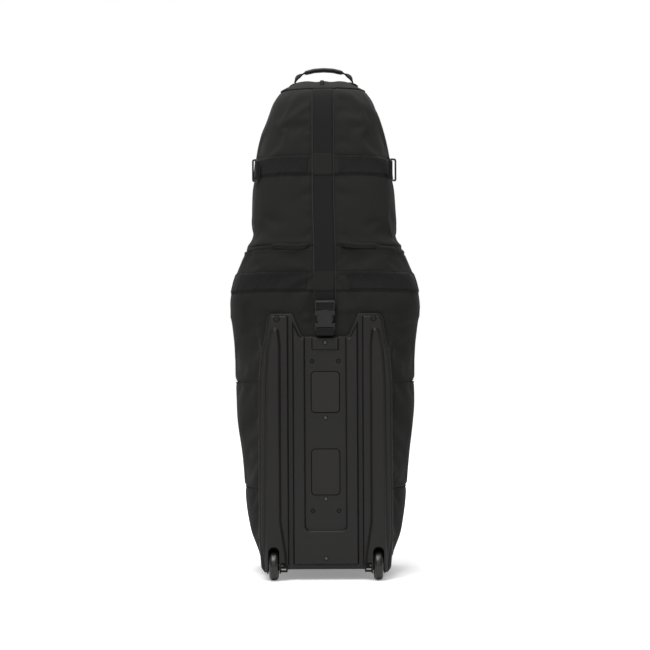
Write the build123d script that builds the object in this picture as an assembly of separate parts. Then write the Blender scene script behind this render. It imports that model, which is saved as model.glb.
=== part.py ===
from build123d import *
import math
import os

# Soft-sided rolling golf travel case.
# Frame: millimetres, +Z up, X to the right seen from behind, the moulded kick plate on -Y and the
# zipped front on +Y. The case stands on its two wheels (-Y) and two front feet (+Y) at Z = 0.

# ---------------------------------------------------------------- driving dimensions
WALL = 8.0                  # padded ballistic-cloth wall
BACK_Y = -158.0             # outer face of the flat cloth back, under the kick plate
FRONT_Y = 150.0             # outer face of the front plane at FRONT_Z
FRONT_Z = 350.0             # lower end of the front opening
FRONT_TILT = 3.0            # degrees that the front plane leans towards the back
OPENING_LENGTH = 811.0      # front opening, measured up the front plane
OPENING_HALF = 118.0        # half width of the front opening
BASE_Z = 46.0               # underside of the base tray
BASE_TOP = 56.0
SEAM_Z = 866.0              # folded seam where the hood meets the body
CROWN_Z = 1285.0            # seam of the crown panel
CROWN_TOP = 1312.0
CORNER = 60.0               # depth of the cloth corners in plan
WEBBING = 50.0              # two-inch webbing
WEBBING_T = 1.6

PLATE_HALF = 174.4          # kick plate
PLATE_TOP = 693.4
PLATE_NOTCH_Z = 633.7
SKIN = 5.0                  # depth of the groove floors over the cloth
PANEL = 13.0                # depth of the ribs either side of the channel
POD = 23.0                  # depth of the long runner pods
CHANNEL_HALF = 47.0
GROOVE_X = 90.6
GROOVE_HALF = 4.8
HORN_SCREW = (125.4, 680.0)                     # X and Z of each fastener on the plate
CENTRE_SCREW_Z = [618.0, 422.0, 211.0, 58.0]
HEX_SCREWS = [(34.0, 569.0), (33.6, 180.5)]
RIVET_Z = [492.0, 355.0, 221.0, 120.0]
PAD_HALF = 36.0
PADS = {"skid_pad_upper": (436.8, 541.1), "skid_pad_lower": (222.6, 340.1)}

WHEEL_R = 38.0              # 76 mm inline-skate wheel
WHEEL_W = 24.0
WHEEL_X = 135.7
WHEEL_Y = -157.0
SLOT_HALF = 14.25
HOUSING_WALL = 3.5
SLOT_TOP = 88.5             # top of the arch over each wheel
HUB_R = 17.0
AXLE_R = 4.0
BEARING_R = 11.0            # 608 bearing, 22 x 8 x 7
BEARING_W = 7.0

RING_X = 174.6              # hinge bar of the side rings, at the corners of the upper band
RING_Z = 1069.0
RING_TALL = 60.0
RING_DEEP = 26.0
WIRE = 5.0
RING_Y = -127.7
RING_OPEN = 37.0            # degrees that a hanging ring stands outwards
TAB_TURN = 23.2             # degrees that the cloth corner runs outwards under its tab
UPPER_BAND_Y = -52.0        # where the upper band ends on either side
UPPER_BAND_Z = 1081.0
LOWER_BAND_Z = 778.0

HANDLE_END_X = 78.0
HANDLE_FOOT_Z = 1315.0
GRIP_HALF = 50.0

BUCKLE_HALF = 26.5
BUCKLE_TOP = 726.0
BUCKLE_JOIN = 702.0         # mouth of the female half
BUCKLE_BOTTOM = 648.0
BUCKLE_BACK = 5.0           # gap between the cloth and the buckle
BUCKLE_T = 13.0
PRONG_X = 15.0
MOUTH_HALF = 19.5           # the prongs' shoulders catch behind this mouth

FLAP_GAP = 0.5              # between each front flap and its frame
TAPE_T = 1.2                # zipper tape
TOOTH_D = 2.6               # top of the zipper teeth over the cloth
DECK = TOOTH_D + 0.4        # underside of a slider
PULL_BAR = DECK + 4.4       # centre of the bar its pull swings on
SLIDER_U = 870.0            # parked main slider, up the front plane
POCKET_HALF = 105.0
POCKET_U0 = -255.0
POCKET_U1 = -25.0
POCKET_D = 28.0
POCKET_WALL = 6.0
POCKET_CHAIN_D = POCKET_D - 8
POCKET_SLIDER_X = 80.0
LID_GAP = 0.4
LID_T = 3.3

FAR = 600.0                 # beyond the case on every side

os.makedirs("parts", exist_ok=True)


def save(name, *solids):
    """Write one node as a STEP file holding one or more separate solids."""
    shape = solids[0] if len(solids) == 1 else Compound(children=list(solids))
    export_step(shape, f"parts/{name}.step")


def box(x0, x1, y0, y1, z0, z1):
    """A box between two corners."""
    size = Box(x1 - x0, y1 - y0, z1 - z0)
    return Pos((x0 + x1) / 2, (y0 + y1) / 2, (z0 + z1) / 2) * size


def mirrored(shape):
    """The same shape on the other side of the middle plane."""
    return mirror(shape, about=Plane.YZ)


def rod(radius, x0, x1, y, z):
    """A round bar along X."""
    return Pos((x0 + x1) / 2, y, z) * Rot(0, 90, 0) * Cylinder(radius, x1 - x0)


# ---------------------------------------------------------------- cloth body
TILT = math.radians(FRONT_TILT)


def front_y(z):
    """Y of the leaning front plane at height z."""
    return FRONT_Y - (z - FRONT_Z) * math.tan(TILT)


def station(z, half, back=BACK_Y, tuck=0.0, plated=False):
    """One level of the body: its height, half width, back, front and whether the plate covers it."""
    return z, half, back, front_y(z) - tuck, plated


STATIONS = [
    station(BASE_Z, 172.0, BACK_Y, 14.0, True),
    station(78.0, 184.0, BACK_Y, 3.0, True),
    station(105.0, 199.0, BACK_Y, 0.0, True),
    station(380.0, 230.0, BACK_Y, 0.0, True),
    station(607.0, 242.0, BACK_Y, 0.0, True),
    station(720.0, 254.0),
    station(769.0, 250.0),
    station(801.0, 237.0),
    station(SEAM_Z, 208.0),
    station(898.0, 197.0, -156.0),
    station(1028.0, 188.0, -150.0),
    station(1125.0, 175.0, -145.0),
    station(1206.0, 157.0, -138.0),
    station(1246.0, 145.0, -130.0),
    station(1271.0, 134.0, -121.0, 9.0),
    station(1290.0, 120.0, -106.0, 26.0),
    station(CROWN_TOP, 80.0, -62.0, 56.0),
]


def section(level, inset):
    """The plan outline of the body at one level, drawn in by inset."""
    z, half, back, front, plated = level
    corner = min(CORNER, 0.55 * half)
    if plated:
        flat, turn, side = 166.0, (166.0, back + 36.0), back + 80.0
    else:
        flat, turn, side = half - corner, (half - 0.3 * corner, back + 0.3 * corner), back + corner
    right = [
        (flat - 0.6 * inset, back + inset),
        (turn[0] - 0.8 * inset, turn[1] + 0.4 * inset),
        (half - inset, side + 0.3 * inset),
        (half - inset, front - corner - 0.3 * inset),
        (half - 0.3 * corner - 0.7 * inset, front - 0.3 * corner - 0.7 * inset),
        (half - corner - 0.3 * inset, front - inset),
    ]
    left = [(-x, y) for x, y in reversed(right)]
    return Pos(0, 0, z) * make_face(Polyline(*right, *left, close=True))


def body(inset, levels):
    """The body's outer form, drawn in by inset, through the given levels."""
    return loft([section(level, inset) for level in levels], ruled=True)


FRONT = Plane(
    origin=(0, FRONT_Y, FRONT_Z),
    x_dir=(-1, 0, 0),
    z_dir=(0, math.cos(TILT), math.sin(TILT)),
)


def front_box(x0, x1, u0, u1, d0, d1):
    """A box on the front plane: X range, distances up the plane, distances out of it."""
    flat = Pos(-(x0 + x1) / 2, (u0 + u1) / 2, (d0 + d1) / 2) * Box(x1 - x0, u1 - u0, d1 - d0)
    return FRONT * flat


def slab(z0, z1):
    """Everything between two heights."""
    return box(-FAR, FAR, -FAR, FAR, z0, z1)


def wheel_room(grow):
    """The space of both wheels inside the housings, grown by grow."""
    half = SLOT_HALF + grow
    top = SLOT_TOP + grow
    front = WHEEL_Y + WHEEL_R + 5.0 + grow
    room = box(WHEEL_X - half, WHEEL_X + half, -FAR, front, -FAR, top)
    return room + mirrored(room)


outer = body(0.0, STATIONS)
inner_levels = [(BASE_TOP, *STATIONS[0][1:])] + STATIONS[1:-1] + [(CROWN_TOP - WALL, *STATIONS[-1][1:])]
inner = body(WALL, inner_levels)
shell = outer - inner - wheel_room(3.6)

back_space = box(-FAR, FAR, -FAR, -100.0, -FAR, 3 * FAR)
front_space = front_box(-FAR, FAR, -FAR, 2 * FAR, -CORNER, FAR)
right_space = box(0, FAR, -FAR, FAR, -FAR, 3 * FAR)
front_opening = front_box(-OPENING_HALF, OPENING_HALF, 0, OPENING_LENGTH, -30, 30)

lower = shell & slab(BASE_TOP, SEAM_Z)
hood = shell & slab(SEAM_Z, CROWN_Z)
rear_lower = lower & back_space
rear_hood = hood & back_space
front_all = (shell & slab(BASE_TOP, CROWN_Z)) & front_space
front_all = front_all - back_space
lower_sides = lower - back_space - front_space
hood_sides = hood - back_space - front_space
opening_top_z = FRONT_Z + OPENING_LENGTH * math.cos(TILT)
front_middle = front_all & slab(FRONT_Z, opening_top_z) - front_opening

save("back_panel", rear_lower)
save("hood_back_panel", rear_hood)
save("side_panel_right", lower_sides & right_space)
save("side_panel_left", mirrored(lower_sides & right_space))
save("hood_side_right", hood_sides & right_space)
save("hood_side_left", mirrored(hood_sides & right_space))
save("front_panel_lower", front_all & slab(BASE_TOP, FRONT_Z))
save("front_strip_right", front_middle & right_space)
save("front_strip_left", mirrored(front_middle & right_space))
save("hood_front_panel", front_all & slab(opening_top_z, CROWN_Z))
save("crown_panel", shell & slab(CROWN_Z, CROWN_TOP))
save("base_tray", shell & slab(BASE_Z, BASE_TOP))

foot = Pos(120, 118, BASE_Z / 2) * Box(70, 44, BASE_Z)
foot = fillet(foot.edges().filter_by(Axis.Z), 10)
foot = chamfer(foot.faces().sort_by(Axis.Z)[0].edges(), 3)
save("front_feet", foot, mirrored(foot))

# ---------------------------------------------------------------- front flaps and main zipper
flap_right = front_box(10, OPENING_HALF - FLAP_GAP, 2, OPENING_LENGTH - 2, -6.0, 0)
tape_right = front_box(0.4, 22, 4, OPENING_LENGTH - 4, 0, TAPE_T)
teeth_right = front_box(0.4, 4.0, 4, OPENING_LENGTH - 4, -1.4, TOOTH_D)
chain_right = tape_right + teeth_right
save("flap_right", flap_right)
save("flap_left", mirrored(flap_right))
save("zipper_chain_right", chain_right)
save("zipper_chain_left", mirrored(chain_right))

park_end = SLIDER_U + 24
upper_tape = front_box(-22, 22, OPENING_LENGTH, park_end, 0, TAPE_T)
upper_teeth = front_box(-4, 4, OPENING_LENGTH, park_end, TAPE_T, TOOTH_D)
top_stop = front_box(-6, 6, park_end, park_end + 5, 0, 4.5)
save("zipper_upper_chain", upper_tape + upper_teeth + top_stop)


def slider(at, deck):
    """A zip slider lying on local XY, pulled towards -Y, its deck starting at local z = deck."""
    shield = Pos(0, 0, deck + 1.3) * Box(13, 21, 2.6)
    shield = chamfer(shield.edges().filter_by(Axis.Z), 3)
    posts = [Pos(0, y, deck + 4.2) * Box(4, 3, 4.2) for y in (-6.5, 6.5)]
    bridge = Pos(0, 0, deck + 6.9) * Box(4, 16, 1.4)
    return at * (shield + posts[0] + posts[1] + bridge)


def pull(at, length):
    """A zip pull hanging along local -Y from a bar under the bridge at the local origin."""
    bar = Rot(0, 90, 0) * Cylinder(1.0, 8.0)
    arms = [Pos(x, -9, 0) * Box(1.8, 18.0, 2.0) for x in (-4.0, 4.0)]
    tab = Pos(0, -14 - length / 2, 0) * Box(9.8, length, 2.0)
    tab = fillet(tab.edges().filter_by(Axis.Z), 2)
    return at * (bar + arms[0] + arms[1] + tab)


slider_place = FRONT * Location((0, SLIDER_U, 0))
pull_place = FRONT * Location((0, SLIDER_U, PULL_BAR))
save("zipper_slider", slider(slider_place, DECK))
save("zipper_pull", pull(pull_place, 30.0))

# ---------------------------------------------------------------- front pocket
pocket_outer = front_box(-POCKET_HALF, POCKET_HALF, POCKET_U0, POCKET_U1, 0, POCKET_D)
pocket_inner = front_box(
    -POCKET_HALF + POCKET_WALL,
    POCKET_HALF - POCKET_WALL,
    POCKET_U0 + POCKET_WALL,
    POCKET_U1 - POCKET_WALL,
    -1,
    POCKET_D + 1,
)
save("pocket_walls", pocket_outer - pocket_inner)
lid_back = POCKET_D + LID_GAP
pocket_lid = front_box(-POCKET_HALF, POCKET_HALF, POCKET_U0, POCKET_U1, lid_back, lid_back + LID_T)
save("pocket_flap", pocket_lid)
pocket_tape = front_box(
    -95, 95, POCKET_U1, POCKET_U1 + TAPE_T, POCKET_CHAIN_D - 7, POCKET_CHAIN_D + 7
)
pocket_teeth = front_box(
    -95, 95, POCKET_U1 + TAPE_T, POCKET_U1 + TOOTH_D, POCKET_CHAIN_D - 3, POCKET_CHAIN_D + 3
)
save("pocket_chain", pocket_tape + pocket_teeth)
top_face = FRONT * Plane(origin=(0, POCKET_U1, POCKET_CHAIN_D), x_dir=(0, 0, 1), z_dir=(0, 1, 0))
pocket_place = top_face * Location((0, POCKET_SLIDER_X, 0))
pocket_pull_place = top_face * Location((0, POCKET_SLIDER_X, PULL_BAR))
save("pocket_slider", slider(pocket_place, DECK))
save("pocket_pull", pull(pocket_pull_place, 22.0))

# ---------------------------------------------------------------- kick plate
PLATE = Plane(origin=(0, BACK_Y, 0), x_dir=(1, 0, 0), z_dir=(0, -1, 0))


def outline(points, rounds=()):
    """A closed flat outline facing up; rounds gives (point number, radius) pairs."""
    pairs = zip(points, [*points[1:], points[0]])
    turning = sum(x0 * y1 - x1 * y0 for (x0, y0), (x1, y1) in pairs)
    ordered = points if turning > 0 else points[::-1]
    face = make_face(Polyline(*ordered, close=True))
    for number, radius in rounds:
        x, y = points[number]
        corner = face.vertices().sort_by_distance((x, y, 0))[0]
        face = fillet(corner, radius)
    return face.faces()[0]


def raised(face, d0, d1, slope=2.0, edge=2.5):
    """A block on the plate from depth d0 to d1, its sides drawn in by slope, its rim rounded off."""
    wall = d1 - d0 - edge
    solid = extrude(face, wall, taper=math.degrees(math.atan2(slope, wall)))
    for share, lean in ((0.6, 30.0), (0.4, 62.0)):
        top = solid.faces().sort_by(Axis.Z)[-1]
        solid += extrude(top, share * edge, taper=lean)
    return PLATE * Pos(0, 0, d0) * solid


def both(shape):
    """The shape and its mirror image as one solid or pair."""
    return shape + mirrored(shape)


RIGHT_EDGE = [
    (98, 28), (112, 20), (160, 20), (169, 32), (PLATE_HALF, 100), (PLATE_HALF, 510),
    (168, 594), (159.5, 622), (151.5, PLATE_TOP), (84, PLATE_TOP), (59, PLATE_NOTCH_Z),
]
LEFT_EDGE = [(-x, y) for x, y in reversed(RIGHT_EDGE)]
edge_points = [*RIGHT_EDGE, *LEFT_EDGE]
edge_rounds = [(0, 12), (1, 8), (2, 8), (3, 20), (7, 80), (8, 20), (9, 5), (10, 12)]
last = len(edge_points) - 1
edge_rounds += [(last - number, radius) for number, radius in edge_rounds]
skin_face = outline(edge_points, edge_rounds)
plate = raised(skin_face, 0, SKIN, 1.0, 1.5)

rib_in = CHANNEL_HALF + 5.0
rib_out = GROOVE_X - GROOVE_HALF
rib_face = outline(
    [(rib_in, 131), (rib_in, 632), (64, 632), (rib_out, 676), (rib_out, 40), (-rib_out, 40),
     (-rib_out, 676), (-64, 632), (-rib_in, 632), (-rib_in, 131)],
    [(0, 12), (9, 12), (2, 8), (7, 8), (4, 6), (5, 6)],
)
plate += raised(rib_face, SKIN - 0.5, PANEL, 3.0, 2.5)
tab_face = outline([(-36, 598), (36, 598), (36, 632.5), (-36, 632.5)], [(2, 5), (3, 5)])
plate += raised(tab_face, SKIN - 0.5, 10.0, 3.0, 1.5)

shoulder_in = GROOVE_X + GROOVE_HALF
shoulder_face = outline(
    [(shoulder_in, 36), (160, 24), (170, 104), (170, 508), (164, 592), (155.5, 620),
     (148, 689.5), (shoulder_in, 689.5)],
    [(0, 8), (5, 80), (6, 17), (7, 8)],
)
plate += both(raised(shoulder_face, SKIN - 0.5, PANEL, 3.0, 2.5))
pod_face = outline(
    [(100, 22), (102, 70), (115, 155), (115, 612), (119, 652), (131, 662), (143, 648),
     (152, 600), (157, 520), (160, 300), (160, 22)],
    [(1, 60), (2, 60), (3, 40), (4, 11), (5, 11), (6, 14), (7, 60), (8, 60)],
)
plate += both(raised(pod_face, PANEL - 0.5, POD, 5.0, 4.0))

# hollow backs, so that the moulding is a shell
for cavity_face, depth in ((rib_face, PANEL - 4), (shoulder_face, PANEL - 4)):
    core = PLATE * Pos(0, 0, -1) * extrude(offset(cavity_face, -5), depth + 1)
    plate -= core if cavity_face is rib_face else both(core)
pod_core = outline([(122, 130), (122, 640), (138, 640), (149, 560), (150, 130)])
plate -= both(PLATE * Pos(0, 0, -1) * extrude(pod_core, POD - 3))

# wheel housings and slots
housing_half = SLOT_HALF + HOUSING_WALL
housing_front = WHEEL_Y + WHEEL_R + 5.0 + HOUSING_WALL
housing = box(
    WHEEL_X - housing_half, WHEEL_X + housing_half, BACK_Y - 17.0, housing_front, 19.0, 92.0
)
plate += both(housing)
slot_front = housing_front - HOUSING_WALL
arch_z = SLOT_TOP - SLOT_HALF
slot = box(WHEEL_X - SLOT_HALF, WHEEL_X + SLOT_HALF, -FAR, slot_front, -50, arch_z)
arch = Rot(90, 0, 0) * Cylinder(SLOT_HALF, FAR + slot_front)
arch = Pos(WHEEL_X, (slot_front - FAR) / 2, arch_z) * arch
plate -= both(slot + arch)

# side flanges that wrap forward round the cloth
flange = box(PLATE_HALF - 3.6, PLATE_HALF - 0.6, BACK_Y - 4, BACK_Y + 22, 100, 520)
plate += both(flange)

# holes for axles, windows over the nuts and rooms for the axle heads
NUT_FACE = WHEEL_X - housing_half
HEAD_FACE = WHEEL_X + housing_half
plate -= both(rod(AXLE_R + 0.02, 100, HEAD_FACE, WHEEL_Y, WHEEL_R))
window = fillet(box(104, NUT_FACE, -FAR, -130, 26, 47).edges().filter_by(Axis.Y), 2.5)
plate -= both(window)
plate -= both(box(HEAD_FACE, HEAD_FACE + 4, BACK_Y - 12, -130, 29, 47))


def screw(x, z, seat, head_r, head_h, drive):
    """A pan-head screw standing on the plate at depth seat."""
    head = Pos(0, 0, head_h / 2) * Cylinder(head_r, head_h)
    head = fillet(head.faces().sort_by(Axis.Z)[-1].edges(), head_h * 0.45)
    if drive == "slot":
        head -= Pos(0, 0, head_h) * Rot(0, 0, 35) * Box(head_r * 1.7, 1.6, 1.6)
    elif drive == "hex":
        head -= Pos(0, 0, head_h) * extrude(RegularPolygon(head_r * 0.55, 6), -2.0)
    return PLATE * Pos(x, z, seat) * head


centre_seats = [10.0, SKIN, SKIN, PANEL]
horn = screw(*HORN_SCREW, PANEL, 6.5, 3.0, "slot")
save("horn_screws", horn, mirrored(horn))
centre_screws = [
    screw(0, z, seat, 4.0, 2.2, "hex") for z, seat in zip(CENTRE_SCREW_Z, centre_seats)
]
save("centre_screws", *centre_screws)
hex_screws = [screw(x, z, SKIN - 3.0, 4.6, 2.4, "hex") for x, z in HEX_SCREWS]
save("hex_screws", *hex_screws, *[mirrored(s) for s in hex_screws])
for x, z in HEX_SCREWS:
    plate -= both(PLATE * Pos(x, z, SKIN) * Cylinder(5.6, 6.0))

rivets = [rod(4.0, PLATE_HALF - 0.6, PLATE_HALF + 1.6, BACK_Y + 8, z) for z in RIVET_Z]
save("side_rivets", *rivets, *[mirrored(r) for r in rivets])

# skid pads in their recesses
for name, (low, high) in PADS.items():
    centre = (low + high) / 2
    seat = PLATE * Pos(0, centre, SKIN - 1.5) * extrude(
        RectangleRounded(2 * PAD_HALF + 1.2, high - low + 1.2, 10), 10
    )
    plate -= seat
    pad = extrude(RectangleRounded(2 * PAD_HALF, high - low, 9.4), 3.5)
    pad = fillet(pad.faces().sort_by(Axis.Z)[-1].edges(), 1.0)
    save(name, PLATE * Pos(0, centre, SKIN - 1.5) * pad)
save("kick_plate", plate)

# ---------------------------------------------------------------- wheels
for side, sign in (("left", -1), ("right", 1)):
    centre = Location((sign * WHEEL_X, WHEEL_Y, WHEEL_R), (0, 90, 0))
    half = WHEEL_W / 2
    profile = make_face(
        [
            *Polyline((HUB_R, -half), (30, -half)).edges(),
            ThreePointArc((30, -half), (WHEEL_R, 0), (30, half)),
            *Polyline((30, half), (HUB_R, half), (HUB_R, -half)).edges(),
        ]
    )
    tyre = revolve(Plane.XZ * profile, Axis.Z)
    hub = Cylinder(HUB_R, WHEEL_W) - Cylinder(BEARING_R, WHEEL_W)
    hub += Cylinder(BEARING_R, WHEEL_W - 2 * BEARING_W - 1) - Cylinder(AXLE_R + 1, WHEEL_W)
    race = Cylinder(BEARING_R, BEARING_W) - Cylinder(AXLE_R + 0.02, BEARING_W)
    shift = (WHEEL_W - BEARING_W) / 2
    save(f"wheel_{side}_tyre", centre * tyre)
    save(f"wheel_{side}_hub", centre * hub)
    save(f"wheel_{side}_bearings", centre * Pos(0, 0, shift) * race, centre * Pos(0, 0, -shift) * race)
    axle = rod(AXLE_R, NUT_FACE - 6.0, HEAD_FACE + 0.2, WHEEL_Y, WHEEL_R)
    axle += rod(7.0, HEAD_FACE + 0.1, HEAD_FACE + 3.0, WHEEL_Y, WHEEL_R)
    save(f"axle_{side}", axle if sign > 0 else mirrored(axle))

nut = Pos(NUT_FACE - 4.6, WHEEL_Y, WHEEL_R) * Rot(0, 90, 0) * extrude(RegularPolygon(7.0, 6), 4.5)
nut -= rod(AXLE_R, 100, 130, WHEEL_Y, WHEEL_R)
save("axle_nuts", nut, mirrored(nut))

# ---------------------------------------------------------------- webbing bands and centre strap
def band(z, y_front, rise=0.2):
    """A webbing band wrapped round the back and sides of the body at height z."""
    half = WEBBING / 2
    wrap = body(-rise - WEBBING_T, STATIONS) - body(-rise, STATIONS)
    return wrap & slab(z - half, z + half) & box(-FAR, FAR, -FAR, y_front, 0, 3 * FAR)


save("band_upper", band(UPPER_BAND_Z, UPPER_BAND_Y))
save("band_lower", band(LOWER_BAND_Z, 60.0))

BACK_LINE = [(level[2], level[0]) for level in STATIONS if level[0] >= SEAM_Z][:-2]


def back_strip(half, first, thick, z_low, z_high):
    """A strip down the middle of the back, standing first off the cloth."""
    line = [(BACK_Y, 300.0), *BACK_LINE]
    points = [(y - first, z) for y, z in line] + [(y - first - thick, z) for y, z in reversed(line)]
    face = make_face(Polyline(*points, close=True))
    strip = extrude(Plane.YZ * face, half, both=True)
    return strip & slab(z_low, z_high)


save("centre_strap", back_strip(25.0, 2.2, WEBBING_T, 716.0, 1262.0))

# ---------------------------------------------------------------- side rings
def at_ring(turn, shape):
    """A shape built round the Z axis, turned outwards and moved to the right ring's hinge bar."""
    return Pos(RING_X, RING_Y, RING_Z) * Rot(0, 0, -turn) * shape


def ring():
    """A rectangular wire ring in the YZ plane, its hinge bar on the Z axis."""
    path = RectangleRounded(RING_DEEP - WIRE, RING_TALL - WIRE, 4.0).face().outer_wire()
    path = Plane(origin=(0, (RING_DEEP - WIRE) / 2, 0), x_dir=(0, 1, 0), z_dir=(1, 0, 0)) * path
    start = path @ 0
    along = path % 0
    return sweep(Plane(origin=start, z_dir=along) * Circle(WIRE / 2), path=path)


LOOP_IN = WIRE / 2 + 0.4
LOOP_OUT = LOOP_IN + WEBBING_T
TAIL = 7.0
ring_right = at_ring(RING_OPEN, ring())
save("ring_right", ring_right)
save("ring_left", mirrored(ring_right))
loop_tall = RING_TALL - 2 * WIRE - 4
loop = Cylinder(LOOP_OUT, loop_tall) - Cylinder(LOOP_IN, loop_tall + 2)
tail = box(-LOOP_OUT, -LOOP_IN, -TAIL, 0, -loop_tall / 2, loop_tall / 2)
tab_right = at_ring(TAB_TURN, loop + tail)
save("ring_tabs", tab_right, mirrored(tab_right))

# ---------------------------------------------------------------- top handle
handle_line = Polyline(
    (-HANDLE_END_X, HANDLE_FOOT_Z), (-71, 1329), (-GRIP_HALF, 1341), (-25, 1347), (0, 1348.6),
    (25, 1347), (GRIP_HALF, 1341), (71, 1329), (HANDLE_END_X, HANDLE_FOOT_Z),
)


def arch(thick, width, reach):
    """A strap of the handle's line, thick in its plane and width across it, out to reach."""
    face = trace(handle_line, thick)
    solid = extrude(Plane.XZ * face, width / 2, both=True)
    return solid & box(-reach, reach, -FAR, FAR, 0, 3 * FAR)


foot_z = HANDLE_FOOT_Z - 0.7
pinched = [(-1.5, foot_z), (1.5, foot_z), (12.5, foot_z + 14.5), (12.5, 1400), (-12.5, 1400)]
pinched = make_face(Polyline(*pinched, (-12.5, foot_z + 14.5), close=True))
webbing = arch(3.0, 25.0, FAR) & extrude(Plane.YZ * pinched, FAR, both=True)
grip = arch(10.0, 31.0, GRIP_HALF) - arch(3.0, 25.0, FAR)
save("handle_webbing", webbing)
save("handle_grip", grip)
anchor = box(66, 92, -20, 20, CROWN_TOP, CROWN_TOP + 1.2)
save("handle_anchors", anchor, mirrored(anchor))

# ---------------------------------------------------------------- side-release buckle
BY0 = BACK_Y - BUCKLE_BACK
BY1 = BY0 - BUCKLE_T


def buckle_box(x0, x1, z0, z1, d0=0.0, d1=BUCKLE_T):
    """A box of the buckle: X range, Z range and depths out from its back face."""
    return box(x0, x1, BY0 - d1, BY0 - d0, z0, z1)


female = buckle_box(-BUCKLE_HALF, BUCKLE_HALF, BUCKLE_BOTTOM, BUCKLE_JOIN)
female = fillet(female.edges().filter_by(Axis.Y), 4.0)
female = chamfer(female.faces().sort_by(Axis.Y)[0].edges(), 1.5)
female -= buckle_box(-22.5, 22.5, 664, 689, 2.5, BUCKLE_T - 2.5)
female -= buckle_box(-MOUTH_HALF, MOUTH_HALF, 664, BUCKLE_JOIN + 1, 2.5, BUCKLE_T - 2.5)
female -= buckle_box(-23.0, 23.0, BUCKLE_BOTTOM + 4, BUCKLE_BOTTOM + 9.5, -1, BUCKLE_T + 1)
waist = buckle_box(17.5, 40, 668, 688, -1, BUCKLE_T + 1)
female -= both(waist)
save("buckle_female", female)

male = buckle_box(-BUCKLE_HALF, BUCKLE_HALF, BUCKLE_JOIN + 0.6, BUCKLE_TOP)
male = fillet(male.edges().filter_by(Axis.Y), 3.0)
male = chamfer(male.faces().sort_by(Axis.Y)[0].edges(), 1.2)
male -= buckle_box(-23.0, 23.0, 715.0, 720.5, -1, BUCKLE_T + 1)
male -= both(buckle_box(PRONG_X - 4.0, PRONG_X + 4.0, 700, 706.5, 2.0, BUCKLE_T - 2.0))
tongue = buckle_box(-6.0, 6.0, 670, BUCKLE_JOIN + 2, 3.2, BUCKLE_T - 3.2)
save("buckle_male", male + tongue)

prong_points = [
    (PRONG_X - 3, 706), (PRONG_X + 3, 706), (PRONG_X + 3.2, 689), (22.0, 686), (22.0, 676),
    (17.0, 667), (14.0, 667), (PRONG_X - 1.5, 690),
]
prong = extrude(
    Plane(origin=(0, BY0 - 3.2, 0), x_dir=(1, 0, 0), z_dir=(0, -1, 0)) * outline(prong_points),
    BUCKLE_T - 6.4,
)
save("buckle_prong_right", prong)
save("buckle_prong_left", mirrored(prong))
strap_loop = buckle_box(-22.5, 22.5, 716.0, 719.5, -1.0, BUCKLE_T + 0.5)
strap_loop += buckle_box(-22.5, 22.5, 704.0, 719.5, BUCKLE_T + 0.5, BUCKLE_T + 2.0)
save("buckle_strap_loop", strap_loop)
anchor_web = buckle_box(-22.5, 22.5, BUCKLE_BOTTOM + 5, BUCKLE_BOTTOM + 8, -2.0, BUCKLE_T + 0.5)
anchor_web += buckle_box(-22.5, 22.5, 636, BUCKLE_BOTTOM + 8, BUCKLE_T + 0.5, BUCKLE_T + 2.0)
save("buckle_webbing", anchor_web)

# ---------------------------------------------------------------- inside
INSIDE_BACK = BACK_Y + WALL
save("stiffener_board", box(-140, 140, INSIDE_BACK, INSIDE_BACK + 3, 100, 850))
save("base_pad", box(-140, 140, -96, 128, BASE_TOP, BASE_TOP + 12))
save("hood_foam", box(-60, 60, -40, 24, CROWN_TOP - WALL - 28, CROWN_TOP - WALL - 2))
strap_y = INSIDE_BACK + 3
cinch = [box(-140, 140, strap_y, strap_y + WEBBING_T, z - 19, z + 19) for z in (430.0, 720.0)]
save("cinch_straps", *cinch)
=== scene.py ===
"""Looks of a soft-sided rolling golf travel case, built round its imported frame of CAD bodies."""

import logging
import math
from dataclasses import dataclass, field
from enum import Enum
from typing import Callable, Optional, Sequence

import bpy
import numpy as np
from mathutils import Matrix, Vector


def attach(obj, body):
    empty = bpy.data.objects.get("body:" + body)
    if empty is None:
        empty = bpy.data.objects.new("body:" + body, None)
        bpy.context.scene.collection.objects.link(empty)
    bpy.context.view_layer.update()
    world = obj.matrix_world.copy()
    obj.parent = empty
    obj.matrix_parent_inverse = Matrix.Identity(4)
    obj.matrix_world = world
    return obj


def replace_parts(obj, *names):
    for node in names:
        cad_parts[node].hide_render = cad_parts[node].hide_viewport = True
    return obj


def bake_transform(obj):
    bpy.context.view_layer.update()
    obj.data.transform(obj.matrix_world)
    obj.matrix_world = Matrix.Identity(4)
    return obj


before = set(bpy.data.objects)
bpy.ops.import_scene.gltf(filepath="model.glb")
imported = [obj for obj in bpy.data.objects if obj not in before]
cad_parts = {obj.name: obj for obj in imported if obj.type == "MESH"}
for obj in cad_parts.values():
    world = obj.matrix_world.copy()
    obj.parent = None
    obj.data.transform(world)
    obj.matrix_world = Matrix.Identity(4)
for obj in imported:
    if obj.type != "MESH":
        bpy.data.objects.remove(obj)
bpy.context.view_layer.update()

log = logging.getLogger("travel_case")
MM = 0.001
Array = np.ndarray

SEAMS = (46.0, 235.0, 513.0, 868.0, 1285.0)     # heights of the seams round the body, in millimetres
UPPER_BAND = 1081.0                             # middle lines of the two webbing bands
LOWER_BAND = 778.0


# ------------------------------------------------------------------------------------ small tools
class Side(Enum):
    """Which side of the case a piece is on, seen from behind."""

    LEFT = -1
    RIGHT = 1

    @property
    def word(self) -> str:
        """The side's name as the CAD nodes write it."""
        return self.name.lower()


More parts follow.
